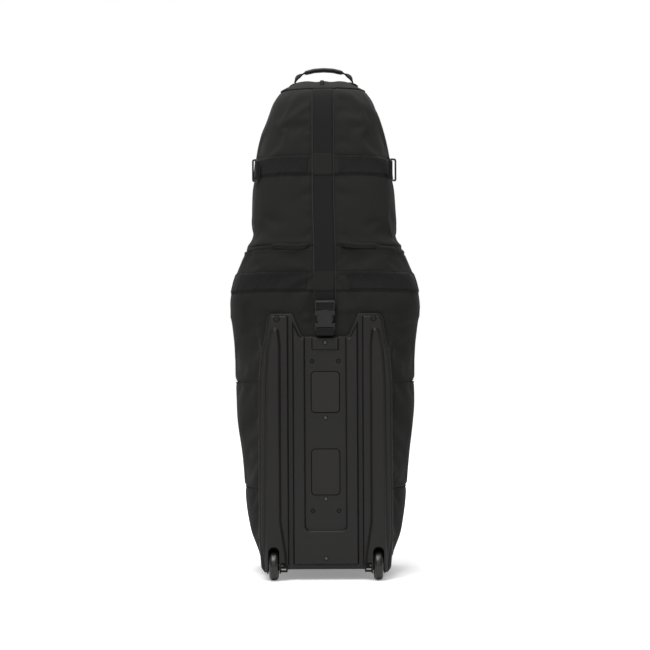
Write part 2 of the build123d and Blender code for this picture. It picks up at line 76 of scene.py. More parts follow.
def linear(code: str) -> tuple[float, float, float, float]:
    """Turn an sRGB hex colour into linear values.

    Args:
        code: Six hex digits with a leading hash.

    Returns:
        Linear red, green, blue and an alpha of 1.
    """
    parts = [int(code[i : i + 2], 16) / 255 for i in (1, 3, 5)]
    curve = [c / 12.92 if c <= 0.04045 else ((c + 0.055) / 1.055) ** 2.4 for c in parts]
    return curve[0], curve[1], curve[2], 1.0


def add_node(
    tree: bpy.types.NodeTree,
    kind: str,
    settings: Optional[dict] = None,
    inputs: Optional[dict] = None,
) -> bpy.types.Node:
    """Add a shader node with its settings, values and links.

    Args:
        tree: The material's node tree.
        kind: The node's Blender type.
        settings: Attributes of the node, by name.
        inputs: Socket values or the output sockets to link, by socket name or number.

    Returns:
        The new node.
    """
    node = tree.nodes.new(kind)
    for name, value in (settings or {}).items():
        setattr(node, name, value)
    for key, value in (inputs or {}).items():
        if isinstance(value, bpy.types.NodeSocket):
            tree.links.new(value, node.inputs[key])
        else:
            node.inputs[key].default_value = value
    return node


def only(obj: bpy.types.Object) -> None:
    """Select one object alone and make it active."""
    if bpy.context.mode != "OBJECT":
        bpy.ops.object.mode_set(mode="OBJECT")
    bpy.ops.object.select_all(action="DESELECT")
    obj.select_set(True)
    bpy.context.view_layer.objects.active = obj


def modify(obj: bpy.types.Object, kind: str, **settings: object) -> None:
    """Add one modifier, set it and apply it.

    Args:
        obj: The mesh object.
        kind: The modifier's Blender type.
        **settings: The modifier's attributes.
    """
    only(obj)
    modifier = obj.modifiers.new(kind.title(), kind)
    for name, value in settings.items():
        setattr(modifier, name, value)
    bpy.ops.object.modifier_apply(modifier=modifier.name)


def new_mesh(name: str, verts: Array, faces: Sequence, uv: Optional[Array] = None) -> bpy.types.Object:
    """Make a smooth-shaded mesh object with its place in its mesh.

    Args:
        name: The piece's name.
        verts: Points in metres, one per row.
        faces: Lists of point numbers.
        uv: One texture place per point, in metres along the cloth.

    Returns:
        The linked object.
    """
    mesh = bpy.data.meshes.new(name)
    mesh.from_pydata([tuple(v) for v in verts], [], [tuple(f) for f in faces])
    mesh.polygons.foreach_set("use_smooth", [True] * len(mesh.polygons))
    if uv is not None:
        layer = mesh.uv_layers.new(name="UVMap")
        loops = np.zeros(len(mesh.loops), np.int32)
        mesh.loops.foreach_get("vertex_index", loops)
        layer.data.foreach_set("uv", np.asarray(uv, np.float32)[loops].ravel())
    mesh.update()
    obj = bpy.data.objects.new(name, mesh)
    bpy.context.scene.collection.objects.link(obj)
    return obj


def dress(obj: bpy.types.Object, material: bpy.types.Material) -> None:
    """Give an object one material."""
    obj.data.materials.clear()
    obj.data.materials.append(material)


def merge(name: str, parts: Sequence[bpy.types.Object]) -> bpy.types.Object:
    """Join objects into one named piece.

    Args:
        name: The joined piece's name.
        parts: The objects to join.

    Returns:
        The joined object.
    """
    only(parts[0])
    for part in parts:
        part.select_set(True)
    if len(parts) > 1:
        bpy.ops.object.join()
    joined = bpy.context.view_layer.objects.active
    joined.name = name
    joined.data.name = name
    return joined


def face_outwards(obj: bpy.types.Object) -> None:
    """Turn every face of a closed piece outwards."""
    only(obj)
    bpy.ops.object.mode_set(mode="EDIT")
    bpy.ops.mesh.select_all(action="SELECT")
    bpy.ops.mesh.normals_make_consistent(inside=False)
    bpy.ops.object.mode_set(mode="OBJECT")


def settle(obj: bpy.types.Object) -> None:
    """Move an object's place, turn and scale into its mesh."""
    bpy.context.view_layer.update()
    obj.data.transform(obj.matrix_world)
    obj.matrix_world = Matrix.Identity(4)


def smoothstep(low: float, high: float, value: Array) -> Array:
    """A soft step from 0 at low to 1 at high."""
    t = np.clip((value - low) / (high - low), 0.0, 1.0)
    return t * t * (3 - 2 * t)


def bump_at(value: Array, centre: float, width: float) -> Array:
    """A smooth hump of height 1 at centre, falling off over width."""
    return np.exp(-(((value - centre) / width) ** 2))


# ------------------------------------------------------------------------------------- finishes
@dataclass(frozen=True)
class Woven:
    """Woven nylon: cloth or webbing, dyed before weaving, which scatters light softly at its edges."""

    name: str
    colour: str
    deep: str
    thread: float
    rough: float = 0.85
    sheen: float = 0.25
    relief: float = 0.35
    ribbed: bool = False

    def material(self) -> bpy.types.Material:
        """Build the weave from two crossed waves along the piece's own cloth coordinates.

        Returns:
            The material.
        """
        made = bpy.data.materials.new(self.name)
        made.use_nodes = True
        tree = made.node_tree
        tree.nodes.clear()
        place = add_node(tree, "ShaderNodeUVMap", {"uv_map": "UVMap"})
        body = add_node(tree, "ShaderNodeTexCoord")
        period = 2 * math.pi / 20
        across = {"wave_type": "BANDS", "bands_direction": "X", "wave_profile": "SIN"}
        along = dict(across, bands_direction="Y")
        warp = add_node(tree, "ShaderNodeTexWave", across,
                        {"Vector": place.outputs[0], "Scale": period / self.thread})
        weft_pitch = self.thread * (2.2 if self.ribbed else 1.0)
        weft = add_node(tree, "ShaderNodeTexWave", along,
                        {"Vector": place.outputs[0], "Scale": period / weft_pitch})
        join = "ADD" if self.ribbed else "MULTIPLY"
        weave = add_node(tree, "ShaderNodeMath", {"operation": join},
                         {0: warp.outputs["Fac"], 1: weft.outputs["Fac"]})
        fibre = add_node(tree, "ShaderNodeTexNoise", None,
                         {"Vector": body.outputs["Object"], "Scale": 420.0, "Detail": 2.0})
        cloud = add_node(tree, "ShaderNodeTexNoise", None,
                         {"Vector": body.outputs["Object"], "Scale": 7.0, "Detail": 4.0})
        tone = add_node(tree, "ShaderNodeMath", {"operation": "MULTIPLY_ADD"},
                        {0: fibre.outputs["Fac"], 1: 0.35, 2: 0.0})
        tone = add_node(tree, "ShaderNodeMath", {"operation": "MULTIPLY_ADD"},
                        {0: weave.outputs[0], 1: 0.3, 2: tone.outputs[0]})
        tone = add_node(tree, "ShaderNodeMath", {"operation": "MULTIPLY_ADD", "use_clamp": True},
                        {0: cloud.outputs["Fac"], 1: 0.55, 2: tone.outputs[0]})
        tint = add_node(tree, "ShaderNodeMix", {"data_type": "RGBA"}, {0: tone.outputs[0]})
        tint.inputs[6].default_value = linear(self.deep)
        tint.inputs[7].default_value = linear(self.colour)
        height = add_node(tree, "ShaderNodeMath", {"operation": "MULTIPLY_ADD"},
                          {0: fibre.outputs["Fac"], 1: 0.4, 2: weave.outputs[0]})
        bump = add_node(tree, "ShaderNodeBump", None,
                        {"Height": height.outputs[0], "Strength": self.relief, "Distance": 0.0006})
        shader = add_node(tree, "ShaderNodeBsdfPrincipled", None,
                          {"Base Color": tint.outputs[2], "Normal": bump.outputs[0],
                           "Roughness": self.rough, "Sheen Weight": self.sheen,
                           "Sheen Roughness": 0.5, "Specular IOR Level": 0.12})
        add_node(tree, "ShaderNodeOutputMaterial", None, {"Surface": shader.outputs[0]})
        return made


@dataclass(frozen=True)
class Moulded:
    """Injection- or press-moulded polymer with a spark-eroded grain and slight tone changes."""

    name: str
    colour: str
    deep: str
    rough: float = 0.45
    grain: float = 0.9
    relief: float = 0.15
    specular: float = 0.5

    def material(self) -> bpy.types.Material:
        """Build the grain from two sizes of noise on the piece's own coordinates.

        Returns:
            The material.
        """
        made = bpy.data.materials.new(self.name)
        made.use_nodes = True
        tree = made.node_tree
        tree.nodes.clear()
        body = add_node(tree, "ShaderNodeTexCoord")
        grain = add_node(tree, "ShaderNodeTexNoise", None,
                         {"Vector": body.outputs["Object"], "Scale": 1 / (self.grain * MM),
                          "Detail": 2.0, "Roughness": 0.6})
        cloud = add_node(tree, "ShaderNodeTexNoise", None,
                         {"Vector": body.outputs["Object"], "Scale": 9.0, "Detail": 5.0})
        tone = add_node(tree, "ShaderNodeMath", {"operation": "MULTIPLY_ADD", "use_clamp": True},
                        {0: grain.outputs["Fac"], 1: 0.4, 2: 0.05})
        tone = add_node(tree, "ShaderNodeMath", {"operation": "MULTIPLY_ADD", "use_clamp": True},
                        {0: cloud.outputs["Fac"], 1: 0.7, 2: tone.outputs[0]})
        tint = add_node(tree, "ShaderNodeMix", {"data_type": "RGBA"}, {0: tone.outputs[0]})
        tint.inputs[6].default_value = linear(self.deep)
        tint.inputs[7].default_value = linear(self.colour)
        worn = add_node(tree, "ShaderNodeMapRange", None,
                        {"Value": cloud.outputs["Fac"], 1: 0.3, 2: 0.7,
                         3: self.rough - 0.06, 4: self.rough + 0.08})
        bump = add_node(tree, "ShaderNodeBump", None,
                        {"Height": grain.outputs["Fac"], "Strength": self.relief, "Distance": 0.0004})
        shader = add_node(tree, "ShaderNodeBsdfPrincipled", None,
                          {"Base Color": tint.outputs[2], "Normal": bump.outputs[0],
                           "Roughness": worn.outputs[0], "Specular IOR Level": self.specular})
        add_node(tree, "ShaderNodeOutputMaterial", None, {"Surface": shader.outputs[0]})
        return made


@dataclass(frozen=True)
class Metal:
    """Plated or lacquered steel, turned or drawn, with fine marks that spread its highlights."""

    name: str
    colour: str
    rough: float = 0.35
    metallic: float = 1.0

    def material(self) -> bpy.types.Material:
        """Build the metal with a slightly uneven roughness.

        Returns:
            The material.
        """
        made = bpy.data.materials.new(self.name)
        made.use_nodes = True
        tree = made.node_tree
        tree.nodes.clear()
        body = add_node(tree, "ShaderNodeTexCoord")
        marks = add_node(tree, "ShaderNodeTexNoise", None,
                         {"Vector": body.outputs["Object"], "Scale": 600.0, "Detail": 3.0})
        rough = add_node(tree, "ShaderNodeMapRange", None,
                         {"Value": marks.outputs["Fac"], 3: self.rough - 0.08, 4: self.rough + 0.1})
        bump = add_node(tree, "ShaderNodeBump", None,
                        {"Height": marks.outputs["Fac"], "Strength": 0.08, "Distance": 0.0002})
        shader = add_node(tree, "ShaderNodeBsdfPrincipled", None,
                          {"Base Color": linear(self.colour), "Metallic": self.metallic,
                           "Roughness": rough.outputs[0], "Normal": bump.outputs[0]})
        add_node(tree, "ShaderNodeOutputMaterial", None, {"Surface": shader.outputs[0]})
        return made


class Finish(Enum):
    """Every finish on the case."""

    # two-ply ballistic nylon: matt, with an even fine grain; its 0.6 mm threads are drawn 2.4 mm
    # wide, as coarse as they need to be to show
    CLOTH = Woven("ballistic_nylon", "#232322", "#1a1a19", 2.4 * MM, 0.9, 0.04, 0.22)
    # seat-belt webbing: denser and darker than the cloth, with ribs along it
    WEBBING = Woven("nylon_webbing", "#1b1b1b", "#151515", 2.6 * MM, 0.85, 0.03, 0.16, True)
    # zip tape: thin close twill
    TAPE = Woven("zip_tape", "#191919", "#121212", 1.6 * MM, 0.9, 0.03, 0.3)
    # bonded thread: slightly glossier than the cloth it holds
    THREAD = Woven("bonded_thread", "#242423", "#1b1b1a", 0.8 * MM, 0.7, 0.05, 0.2)
    # thermoformed polyethylene, charcoal: satin, warm grey
    PLATE = Moulded("moulded_polyethylene", "#1a1817", "#151413", 0.42, 1.1, 0.2, 0.3)
    # pad with a deeper, sanded grain
    PAD = Moulded("textured_pad", "#1f1d1c", "#1a1817", 0.6, 1.6, 0.4, 0.3)
    # acetal buckle: smooth satin
    ACETAL = Moulded("acetal", "#191817", "#131211", 0.34, 0.7, 0.06, 0.4)
    # the grip's wrap: smooth vinyl, worn a little paler than the cloth
    WRAP = Moulded("vinyl_wrap", "#2e2c2b", "#262423", 0.55, 1.2, 0.15, 0.3)
    # soft rubber feet
    RUBBER = Moulded("soft_rubber", "#1b1b1b", "#151515", 0.6, 1.2, 0.3, 0.3)
    # cast polyurethane tyre: semi-gloss grey
    TYRE = Moulded("cast_polyurethane", "#1a1918", "#151413", 0.28, 2.0, 0.05)
    # glass-filled nylon wheel core
    CORE = Moulded("filled_nylon", "#1a1a1a", "#141414", 0.5, 0.9, 0.12)
    # zinc-plated steel axles and bearings
    STEEL = Metal("plated_steel", "#5c5c5a", 0.36)
    # dark-plated screws and rivets
    SCREW = Metal("dark_plating", "#34322f", 0.4)
    # black-coated ring wire and zip parts
    LACQUER = Metal("black_lacquer", "#0e0e0e", 0.5, 0.0)
    # painted shade: a dead matt black bead laid in the gaps round the screw heads and skid pads
    GAP_SHADE = Moulded("painted_gap_shade", "#0b0b0b", "#070707", 0.85, 1.0, 0.1, 0.05)
    # piping cord bound in the body cloth, paler than the cloth: a painted highlight of the light its tight
    # curve catches
    PIPING = Woven("bound_piping", "#2b2b2a", "#232322", 1.2 * MM, 0.8, 0.1, 0.2)
    # polyethylene stiffener sheet
    BOARD = Moulded("stiffener_sheet", "#2c2c2c", "#232323", 0.5, 1.0, 0.1)
    # closed-cell foam
    FOAM = Moulded("closed_cell_foam", "#333333", "#272727", 0.9, 2.5, 0.6, 0.2)


FINISHES: dict[Finish, bpy.types.Material] = {finish: finish.value.material() for finish in Finish}


def finish(obj: bpy.types.Object, which: Finish, slot: Optional[str] = None) -> bpy.types.Object:
    """Dress a piece.

    Args:
        obj: The piece.
        which: Its finish.
        slot: The record's material slot, if it has one; not used.

    Returns:
        The same piece.
    """
    dress(obj, FINISHES[which])
    return obj


# --------------------------------------------------------------------------------- cloth surface
@dataclass(frozen=True)
class Station:
    """One level of the cloth body, in millimetres."""

    z: float
    half: float
    back: float
    tuck: float = 0.0
    plated: float = 0.0


@dataclass
class BodySurface:
    """The outer cloth surface as a function of a place round the body and a height.

    The place u runs 0 at the middle of the back, 5 at the right side, 10 at the middle of the
    front and 15 at the left side.
    """

    back_y: float = -158.0
    front_y: float = 150.0
    front_z: float = 350.0
    tilt: float = math.radians(3.0)
    corner: float = 60.0
    soften: float = 13.0
    crown_z: float = 1285.0
    hood_lean: float = -3.0
    stations: tuple[Station, ...] = (
        Station(46, 172, -158, 14, 1), Station(78, 184, -158, 3, 1), Station(105, 199, -158, 0, 1),
        Station(380, 229, -158, 0, 1), Station(607, 239, -158, 0, 1), Station(720, 251, -158),
        Station(769, 243, -158), Station(801, 230, -158), Station(866, 205, -158),
        Station(898, 193, -156), Station(1028, 184, -150), Station(1125, 171, -145),
        Station(1206, 153, -138), Station(1246, 142, -130), Station(1271, 131, -121, 9),
        Station(1290, 112, -106, 26), Station(1312, 70, -62, 56),
    )
    drape: Optional["Drape"] = None
    count: int = 20
    levels: Array = field(init=False)
    table: Array = field(init=False)

    def __post_init__(self) -> None:
        """Sample the stations finely and round off their corners up the body."""
        step = 3.0
        self.levels = np.arange(self.stations[0].z, self.stations[-1].z + step, step)
        rows = [[s.half, s.back, self.front_at(s.z) - s.tuck, s.plated] for s in self.stations]
        known = [s.z for s in self.stations]
        raw = np.stack([np.interp(self.levels, known, column) for column in np.array(rows).T], 1)
        reach = int(4 * self.soften / step)
        spread = np.exp(-0.5 * (np.arange(-reach, reach + 1) * step / self.soften) ** 2)
        spread /= spread.sum()
        ends = [2 * raw[:1] - raw[reach:0:-1], raw, 2 * raw[-1:] - raw[-2 : -reach - 2 : -1]]
        padded = np.concatenate(ends)
        smooth = [np.convolve(column, spread, "valid") for column in padded.T]
        self.table = np.stack(smooth, 1)

    def lean(self, z: Array) -> Array:
        """How far the hood leans to one side at each height, in millimetres."""
        return self.hood_lean * smoothstep(860.0, 1000.0, z)

    def front_at(self, z: float) -> float:
        """Y of the leaning front plane at a height, in millimetres."""
        return self.front_y - (z - self.front_z) * math.tan(self.tilt)

    def controls(self, z: Array) -> Array:
        """Control points of the plan outline at each height.

        Args:
            z: Heights in millimetres.

        Returns:
            An array of heights by 20 points by x and y, in millimetres.
        """
        half, back, front, plated = (np.interp(z, self.levels, column) for column in self.table.T)
        corner = np.minimum(self.corner, 0.55 * half)
        free = np.stack([half - corner, half - 0.3 * corner, back + 0.3 * corner, back + corner], 1)
        held = np.stack([half * 0 + 166, half * 0 + 168, back + 34, back + 84], 1)
        share = plated[:, None]
        flat, turn_x, turn_y, side = (free * (1 - share) + held * share).T
        right = [
            (half * 0, back), (0.5 * flat, back), (flat, back), (turn_x, turn_y), (half, side),
            (half, 0.5 * (side + front - corner)), (half, front - corner),
            (half - 0.3 * corner, front - 0.3 * corner), (half - corner, front),
            (0.5 * (half - corner), front), (half * 0, front),
        ]
        points = np.stack([np.stack(pair, -1) for pair in right], 1)
        left = points[:, 9:0:-1] * np.array([-1.0, 1.0])
        return np.concatenate([points, left], 1)

    def bare(self, u: Array, z: Array) -> Array:
        """Points of the smooth form, before any fold.

        Args:
            u: Places round the body, one row per height.
            z: Heights in millimetres, one per row.

        Returns:
            Points in metres, rows by columns by 3.
        """
        controls = self.controls(z)
        whole = np.floor(u).astype(int)
        f = (u - whole)[..., None]
        weights = [(1 - f) ** 3, 3 * f**3 - 6 * f**2 + 4, -3 * f**3 + 3 * f**2 + 3 * f + 1, f**3]
        rows = np.arange(len(z))[:, None]
        plan = sum(
            w / 6 * controls[rows, (whole + shift) % self.count]
            for w, shift in zip(weights, (-1, 0, 1, 2))
        )
        height = np.broadcast_to(z[:, None], u.shape)
        return np.stack([plan[..., 0] + self.lean(height), plan[..., 1], height], -1) * MM

    def normals(self, u: Array, z: Array) -> Array:
        """Outward directions of the smooth form, for the same arguments as bare."""
        du = self.bare(u + 0.02, z) - self.bare(u - 0.02, z)
        dz = self.bare(u, z + 1.0) - self.bare(u, z - 1.0)
        n = np.cross(du, dz)
        return n / np.linalg.norm(n, axis=-1, keepdims=True)

    def folds(self, p: Array) -> Array:
        """Height of the sewn and creased relief over the smooth form.

        Args:
            p: Points of the smooth form in metres.

        Returns:
            How far each point stands out, in metres.
        """
        x, y, z = (p[..., i] / MM for i in range(3))
        rear = smoothstep(20.0, -90.0, y)
        side = np.abs(x - self.lean(z))
        above = smoothstep(690.0, 760.0, z)
        strap = above * rear * (0.9 * bump_at(side, 38.0, 10.0) - 1.3 * bump_at(side, 30.0, 2.6))
        sway = 6 * np.sin(x / 55.0 + 0.6) + 3 * np.sin(x / 21.0)
        droop = 0.05 * np.maximum(side - 60.0, 0.0)
        seam = z - 868.0 + droop + 0.35 * sway
        overhang = rear * smoothstep(30.0, 60.0, side) * (
            3.4 * bump_at(seam, 8.0, 7.0) - 3.0 * bump_at(seam, -1.5, 3.2)
            + 2.4 * bump_at(seam, -8.0, 4.0) - 1.6 * bump_at(seam, -14.0, 3.0)
        )
        body = smoothstep(880.0, 820.0, z)
        fan = np.arctan2(z - 800.0, side - 20.0)
        rays = np.sin(fan * 9.0 + 0.9 * np.sin(x / 40.0)) * bump_at(np.hypot(side, z - 815.0), 95.0, 60.0)
        slant = np.sin((z * 0.8 + side * 0.9) / 26.0 + np.sin(x / 60.0) + 1.3 * np.sin(z / 90.0))
        slack = smoothstep(520.0, 400.0, z) * smoothstep(150.0, 190.0, side)
        broad = np.sin(x / 63.0 + z / 95.0) + np.sin(z / 47.0 - x / 88.0 + 1.0)
        fine = np.sin(z / 14.0 + 2.2 * np.sin(x / 31.0)) * bump_at(z, 712.0, 26.0)
        crease = 1.5 * bump_at(z - 0.35 * side, 640.0 - 40.0, 9.0) * smoothstep(190.0, 215.0, side)
        relief = strap + overhang + body * (2.5 * rays * rear + 0.9 * broad)
        relief += 1.7 * slack * slant + 1.1 * fine * rear * smoothstep(25.0, 45.0, side) + crease
        relief += 0.7 * (1 - body) * broad
        dimple = np.hypot(x + 47.0, z - 684.0)
        pucker = 3.6 * bump_at(dimple, 0.0, 10.0) - 2.2 * bump_at(dimple, 17.0, 6.0)
        backed = smoothstep(-100.0, -130.0, y) * smoothstep(182.0, 172.0, side)
        notch = smoothstep(66.0, 56.0, side) * smoothstep(634.0, 646.0, z)
        backed = backed * smoothstep(706.0, 692.0, z) * (1 - notch)
        relief = relief * (1 - backed) + pucker * notch - 0.6 * backed
        travel = smoothstep(36.0, 27.0, side) * smoothstep(700.0, 716.0, z) * smoothstep(832.0, 808.0, z)
        relief = relief * (1 - rear * travel)
        return relief * MM

    def points(self, u: Array, z: Array, out: float = 0.0, flat: bool = False) -> Array:
        """Points of the finished cloth surface.

        Args:
            u: Places round the body, one row per height.
            z: Heights in millimetres, one per row.
            out: Distance off the surface, in millimetres.
            flat: Leave out the folds.

        Returns:
            Points in metres.
        """
        base = self.bare(u, z)
        normal = self.normals(u, z)
        stand = np.full(u.shape, out * MM)
        if not flat:
            stand = stand + self.folds(base)
            if self.drape is not None:
                stand = stand + self.drape.sample(u, z)
        return base + normal * stand[..., None]

    def place_of_x(self, x: float, z: Array, low: float, high: float) -> Array:
        """The place u between low and high whose point has a given x, at each height.

        Args:
            x: Wanted x in millimetres.
            z: Heights in millimetres.
            low: Smallest u to look at.
            high: Largest u to look at.

        Returns:
            One u per height.
        """
        tries = np.linspace(low, high, 200)
        grid = self.bare(np.broadcast_to(tries, (len(z), 200)).copy(), z)[..., 0] / MM
        found = []
        for row in grid:
            order = np.argsort(row)
            found.append(np.interp(x, row[order], tries[order]))
        return np.array(found)


@dataclass
class Drape:
    """Slack of the padded cloth between its seams, found by a cloth simulation of the whole body."""

    surface: BodySurface
    columns: int = 150
    rows: int = 120
    pressure: float = 2.2
    frames: int = 16
    cap: float = 4.0
    field_mm: Array = field(init=False)
    heights: Array = field(init=False)

    def __post_init__(self) -> None:
        """Run the simulation and keep how far each point moved off the smooth form."""
        top = self.surface.crown_z
        self.heights = np.linspace(46.0, top, self.rows)
        u = np.linspace(0, self.surface.count, self.columns, endpoint=False)
        grid = np.broadcast_to(u, (self.rows, self.columns)).copy()
        rest = self.surface.bare(grid, self.heights)
        normal = self.surface.normals(grid, self.heights)
        obj = new_mesh("drape_study", rest.reshape(-1, 3), hoop_faces(self.rows, self.columns))
        held = self.held(rest).reshape(-1)
        group = obj.vertex_groups.new(name="held")
        for number, weight in enumerate(held):
            if weight > 0.01:
                group.add([number], float(weight), "REPLACE")
        cloth = obj.modifiers.new("Cloth", "CLOTH")
        cloth.settings.vertex_group_mass = "held"
        cloth.settings.use_pressure = True
        cloth.settings.uniform_pressure_force = self.pressure
        cloth.settings.shrink_min = -0.03
        cloth.settings.quality = 5
        cloth.settings.tension_stiffness = 20
        cloth.settings.bending_stiffness = 2.0
        cloth.settings.effector_weights.gravity = 0.3
        cloth.collision_settings.use_collision = False
        scene = bpy.context.scene
        for number in range(1, self.frames + 1):
            scene.frame_set(number)
        solved = obj.evaluated_get(bpy.context.evaluated_depsgraph_get()).data
        moved = np.zeros(len(solved.vertices) * 3)
        solved.vertices.foreach_get("co", moved)
        shift = moved.reshape(rest.shape) - rest
        out = (shift * normal).sum(-1) / MM
        self.field_mm = self.cap * np.tanh(out / self.cap)
        scene.frame_set(1)
        bpy.data.objects.remove(obj)
        log.info("draped cloth: from %.1f to %.1f mm", self.field_mm.min(), self.field_mm.max())

    @staticmethod
    def held(p: Array) -> Array:
        """How firmly each point is sewn or backed, from 0 to 1."""
        x, y, z = (p[..., i] / MM for i in range(3))
        rear = y < -90.0
        firm = np.zeros(x.shape)
        for seam in SEAMS:
            firm = np.maximum(firm, bump_at(z, seam, 7.0))
        for band in (UPPER_BAND, LOWER_BAND):
            firm = np.maximum(firm, 0.9 * bump_at(z, band, 18.0) * rear)
        firm = np.maximum(firm, rear * (np.abs(x) < 34.0))
        firm = np.maximum(firm, rear * (np.abs(x) < 172.0) * (z < 700.0))
        firm = np.maximum(firm, (y > 0) * (bump_at(np.abs(x), 118.0, 8.0) + bump_at(x, 0.0, 12.0)))
        firm = np.maximum(firm, (y > 0) * (z < 360.0) * (np.abs(x) < 112.0))
        return np.clip(firm, 0.0, 1.0)

    def sample(self, u: Array, z: Array) -> Array:
        """How far the cloth stands out at each place, in metres."""
        col = (u % self.surface.count) / self.surface.count * self.columns
        height = np.broadcast_to(z[:, None], u.shape)
        row = np.interp(height, self.heights, np.arange(self.rows))
        c0, r0 = np.floor(col).astype(int), np.minimum(np.floor(row).astype(int), self.rows - 2)
        fc, fr = col - c0, row - r0
        c0, c1 = c0 % self.columns, (c0 + 1) % self.columns
        f = self.field_mm
        low = f[r0, c0] * (1 - fc) + f[r0, c1] * fc
        high = f[r0 + 1, c0] * (1 - fc) + f[r0 + 1, c1] * fc
        return (low * (1 - fr) + high * fr) * MM


def grid_faces(rows: int, columns: int) -> Array:
    """Quads of a grid of points, counter-clockwise seen from outside.

    Args:
        rows: Number of rows, going up.
        columns: Number of columns, going round.

    Returns:
        One quad per row.
    """
    index = np.arange(rows * columns).reshape(rows, columns)
    return np.stack([index[:-1, :-1], index[:-1, 1:], index[1:, 1:], index[1:, :-1]], -1).reshape(-1, 4)


def hoop_faces(rows: int, columns: int) -> Array:
    """Quads of a grid of points that closes on itself across its columns.

    Args:
        rows: Number of rows, along the form.
        columns: Number of columns, going round it.

    Returns:
        One quad per row.
    """
    index = np.arange(rows * columns).reshape(rows, columns)
    following = np.roll(index, -1, 1)
    return np.stack([index[:-1], following[:-1], following[1:], index[1:]], -1).reshape(-1, 4)


def cloth_uv(points: Array) -> Array:
    """Places along the cloth in metres: across from the middle column, and up."""
    step = np.linalg.norm(np.diff(points, axis=1), axis=-1)
    along = np.concatenate([np.zeros((len(points), 1)), np.cumsum(step, 1)], 1)
    along -= along[:, [points.shape[1] // 2]]
    rise = np.linalg.norm(np.diff(points, axis=0), axis=-1).mean(1)
    up = np.concatenate([[0.0], np.cumsum(rise)])
    return np.stack([along, np.broadcast_to(up[:, None], along.shape)], -1).reshape(-1, 2)


@dataclass
class Panel:
    """One cut panel of padded cloth between its seams."""

    name: str
    bottom: float
    top: float
    start: Callable[[Array], Array]
    end: Callable[[Array], Array]
    replaces: tuple[str, ...]
    wall: float = 7.0
    cell: float = 5.0
    out: float = 0.0
    roll: float = 1.8

    def build(self, surface: BodySurface) -> bpy.types.Object:
        """Loft the panel over the surface, roll its edges in at the seams and give it its wall.

        Args:
            surface: The cloth surface.

        Returns:
            The panel, not yet carried by a body.
        """
        z = np.linspace(self.bottom, self.top, max(4, int((self.top - self.bottom) / self.cell) + 1))
        first, last = self.start(z), self.end(z)
        span = float(np.mean(last - first))
        columns = max(6, int(span / surface.count * 1450.0 / self.cell))
        share = np.linspace(0, 1, columns)
        u = first[:, None] + (last - first)[:, None] * share
        points = surface.points(u, z, self.out)
        normal = surface.normals(u, z)
        step = np.linalg.norm(np.diff(points, axis=1), axis=-1).sum(1)[:, None] / MM
        edge = np.minimum(share, 1 - share)[None, :] * step
        rise = np.minimum(z - self.bottom, self.top - z)[:, None]
        near = np.minimum(edge, rise)
        points = points - normal * (self.roll * np.exp(-((near / 3.2) ** 2)) * MM)[..., None]
        obj = new_mesh(self.name, points.reshape(-1, 3), grid_faces(*points.shape[:2]), cloth_uv(points))
        modify(obj, "SOLIDIFY", thickness=self.wall * MM, offset=-1.0, use_rim=True)
        finish(obj, Finish.CLOTH, "cloth")
        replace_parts(obj, *self.replaces)
        log.info("panel %s, %d faces", self.name, len(obj.data.polygons))
        return obj


def stitches(name: str, path: Array, normal: Array, length: float = 3.0, gap: float = 1.6,
             thick: float = 0.7) -> bpy.types.Object:
    """A row of lockstitches lying along a line on the cloth.

    Args:
        name: The row's name.
        path: Points of the line in metres.
        normal: The cloth's outward direction at each point.
        length: Length of a stitch in millimetres.
        gap: Space between stitches in millimetres.
        thick: Thickness of the thread in millimetres.

    Returns:
        The row as one mesh.
    """
    run = np.concatenate([[0.0], np.cumsum(np.linalg.norm(np.diff(path, axis=0), axis=1))]) / MM
    starts = np.arange(gap, run[-1] - length, length + gap)
    ends = starts + length

    def at(distance: Array, values: Array) -> Array:
        """Values along the line at some distances."""
        return np.stack([np.interp(distance, run, column) for column in values.T], 1)

    a, b = at(starts, path), at(ends, path)
    n = at((starts + ends) / 2, normal)
    n /= np.linalg.norm(n, axis=1, keepdims=True)
    d = (b - a) / np.linalg.norm(b - a, axis=1, keepdims=True)
    s = np.cross(n, d)
    r = thick * MM / 2
    middle = (a + b) / 2 + n * r * 0.9
    rings = []
    for centre, size in ((a, 0.35), (middle, 1.0), (b, 0.35)):
        for side, lift in ((1, 0), (0, 1), (-1, 0), (0, -1)):
            rings.append(centre + s * side * r * size + n * lift * r * size)
    verts = np.stack(rings, 1).reshape(-1, 3)
    one = []
    for ring in (0, 4):
        one += [[ring + k, ring + (k + 1) % 4, ring + 4 + (k + 1) % 4, ring + 4 + k] for k in range(4)]
    one += [[3, 2, 1, 0], [8, 9, 10, 11]]
    faces = [[12 * number + k for k in face] for number in range(len(starts)) for face in one]
    uv = verts[:, [0, 2]]
    return new_mesh(name, verts, faces, uv)


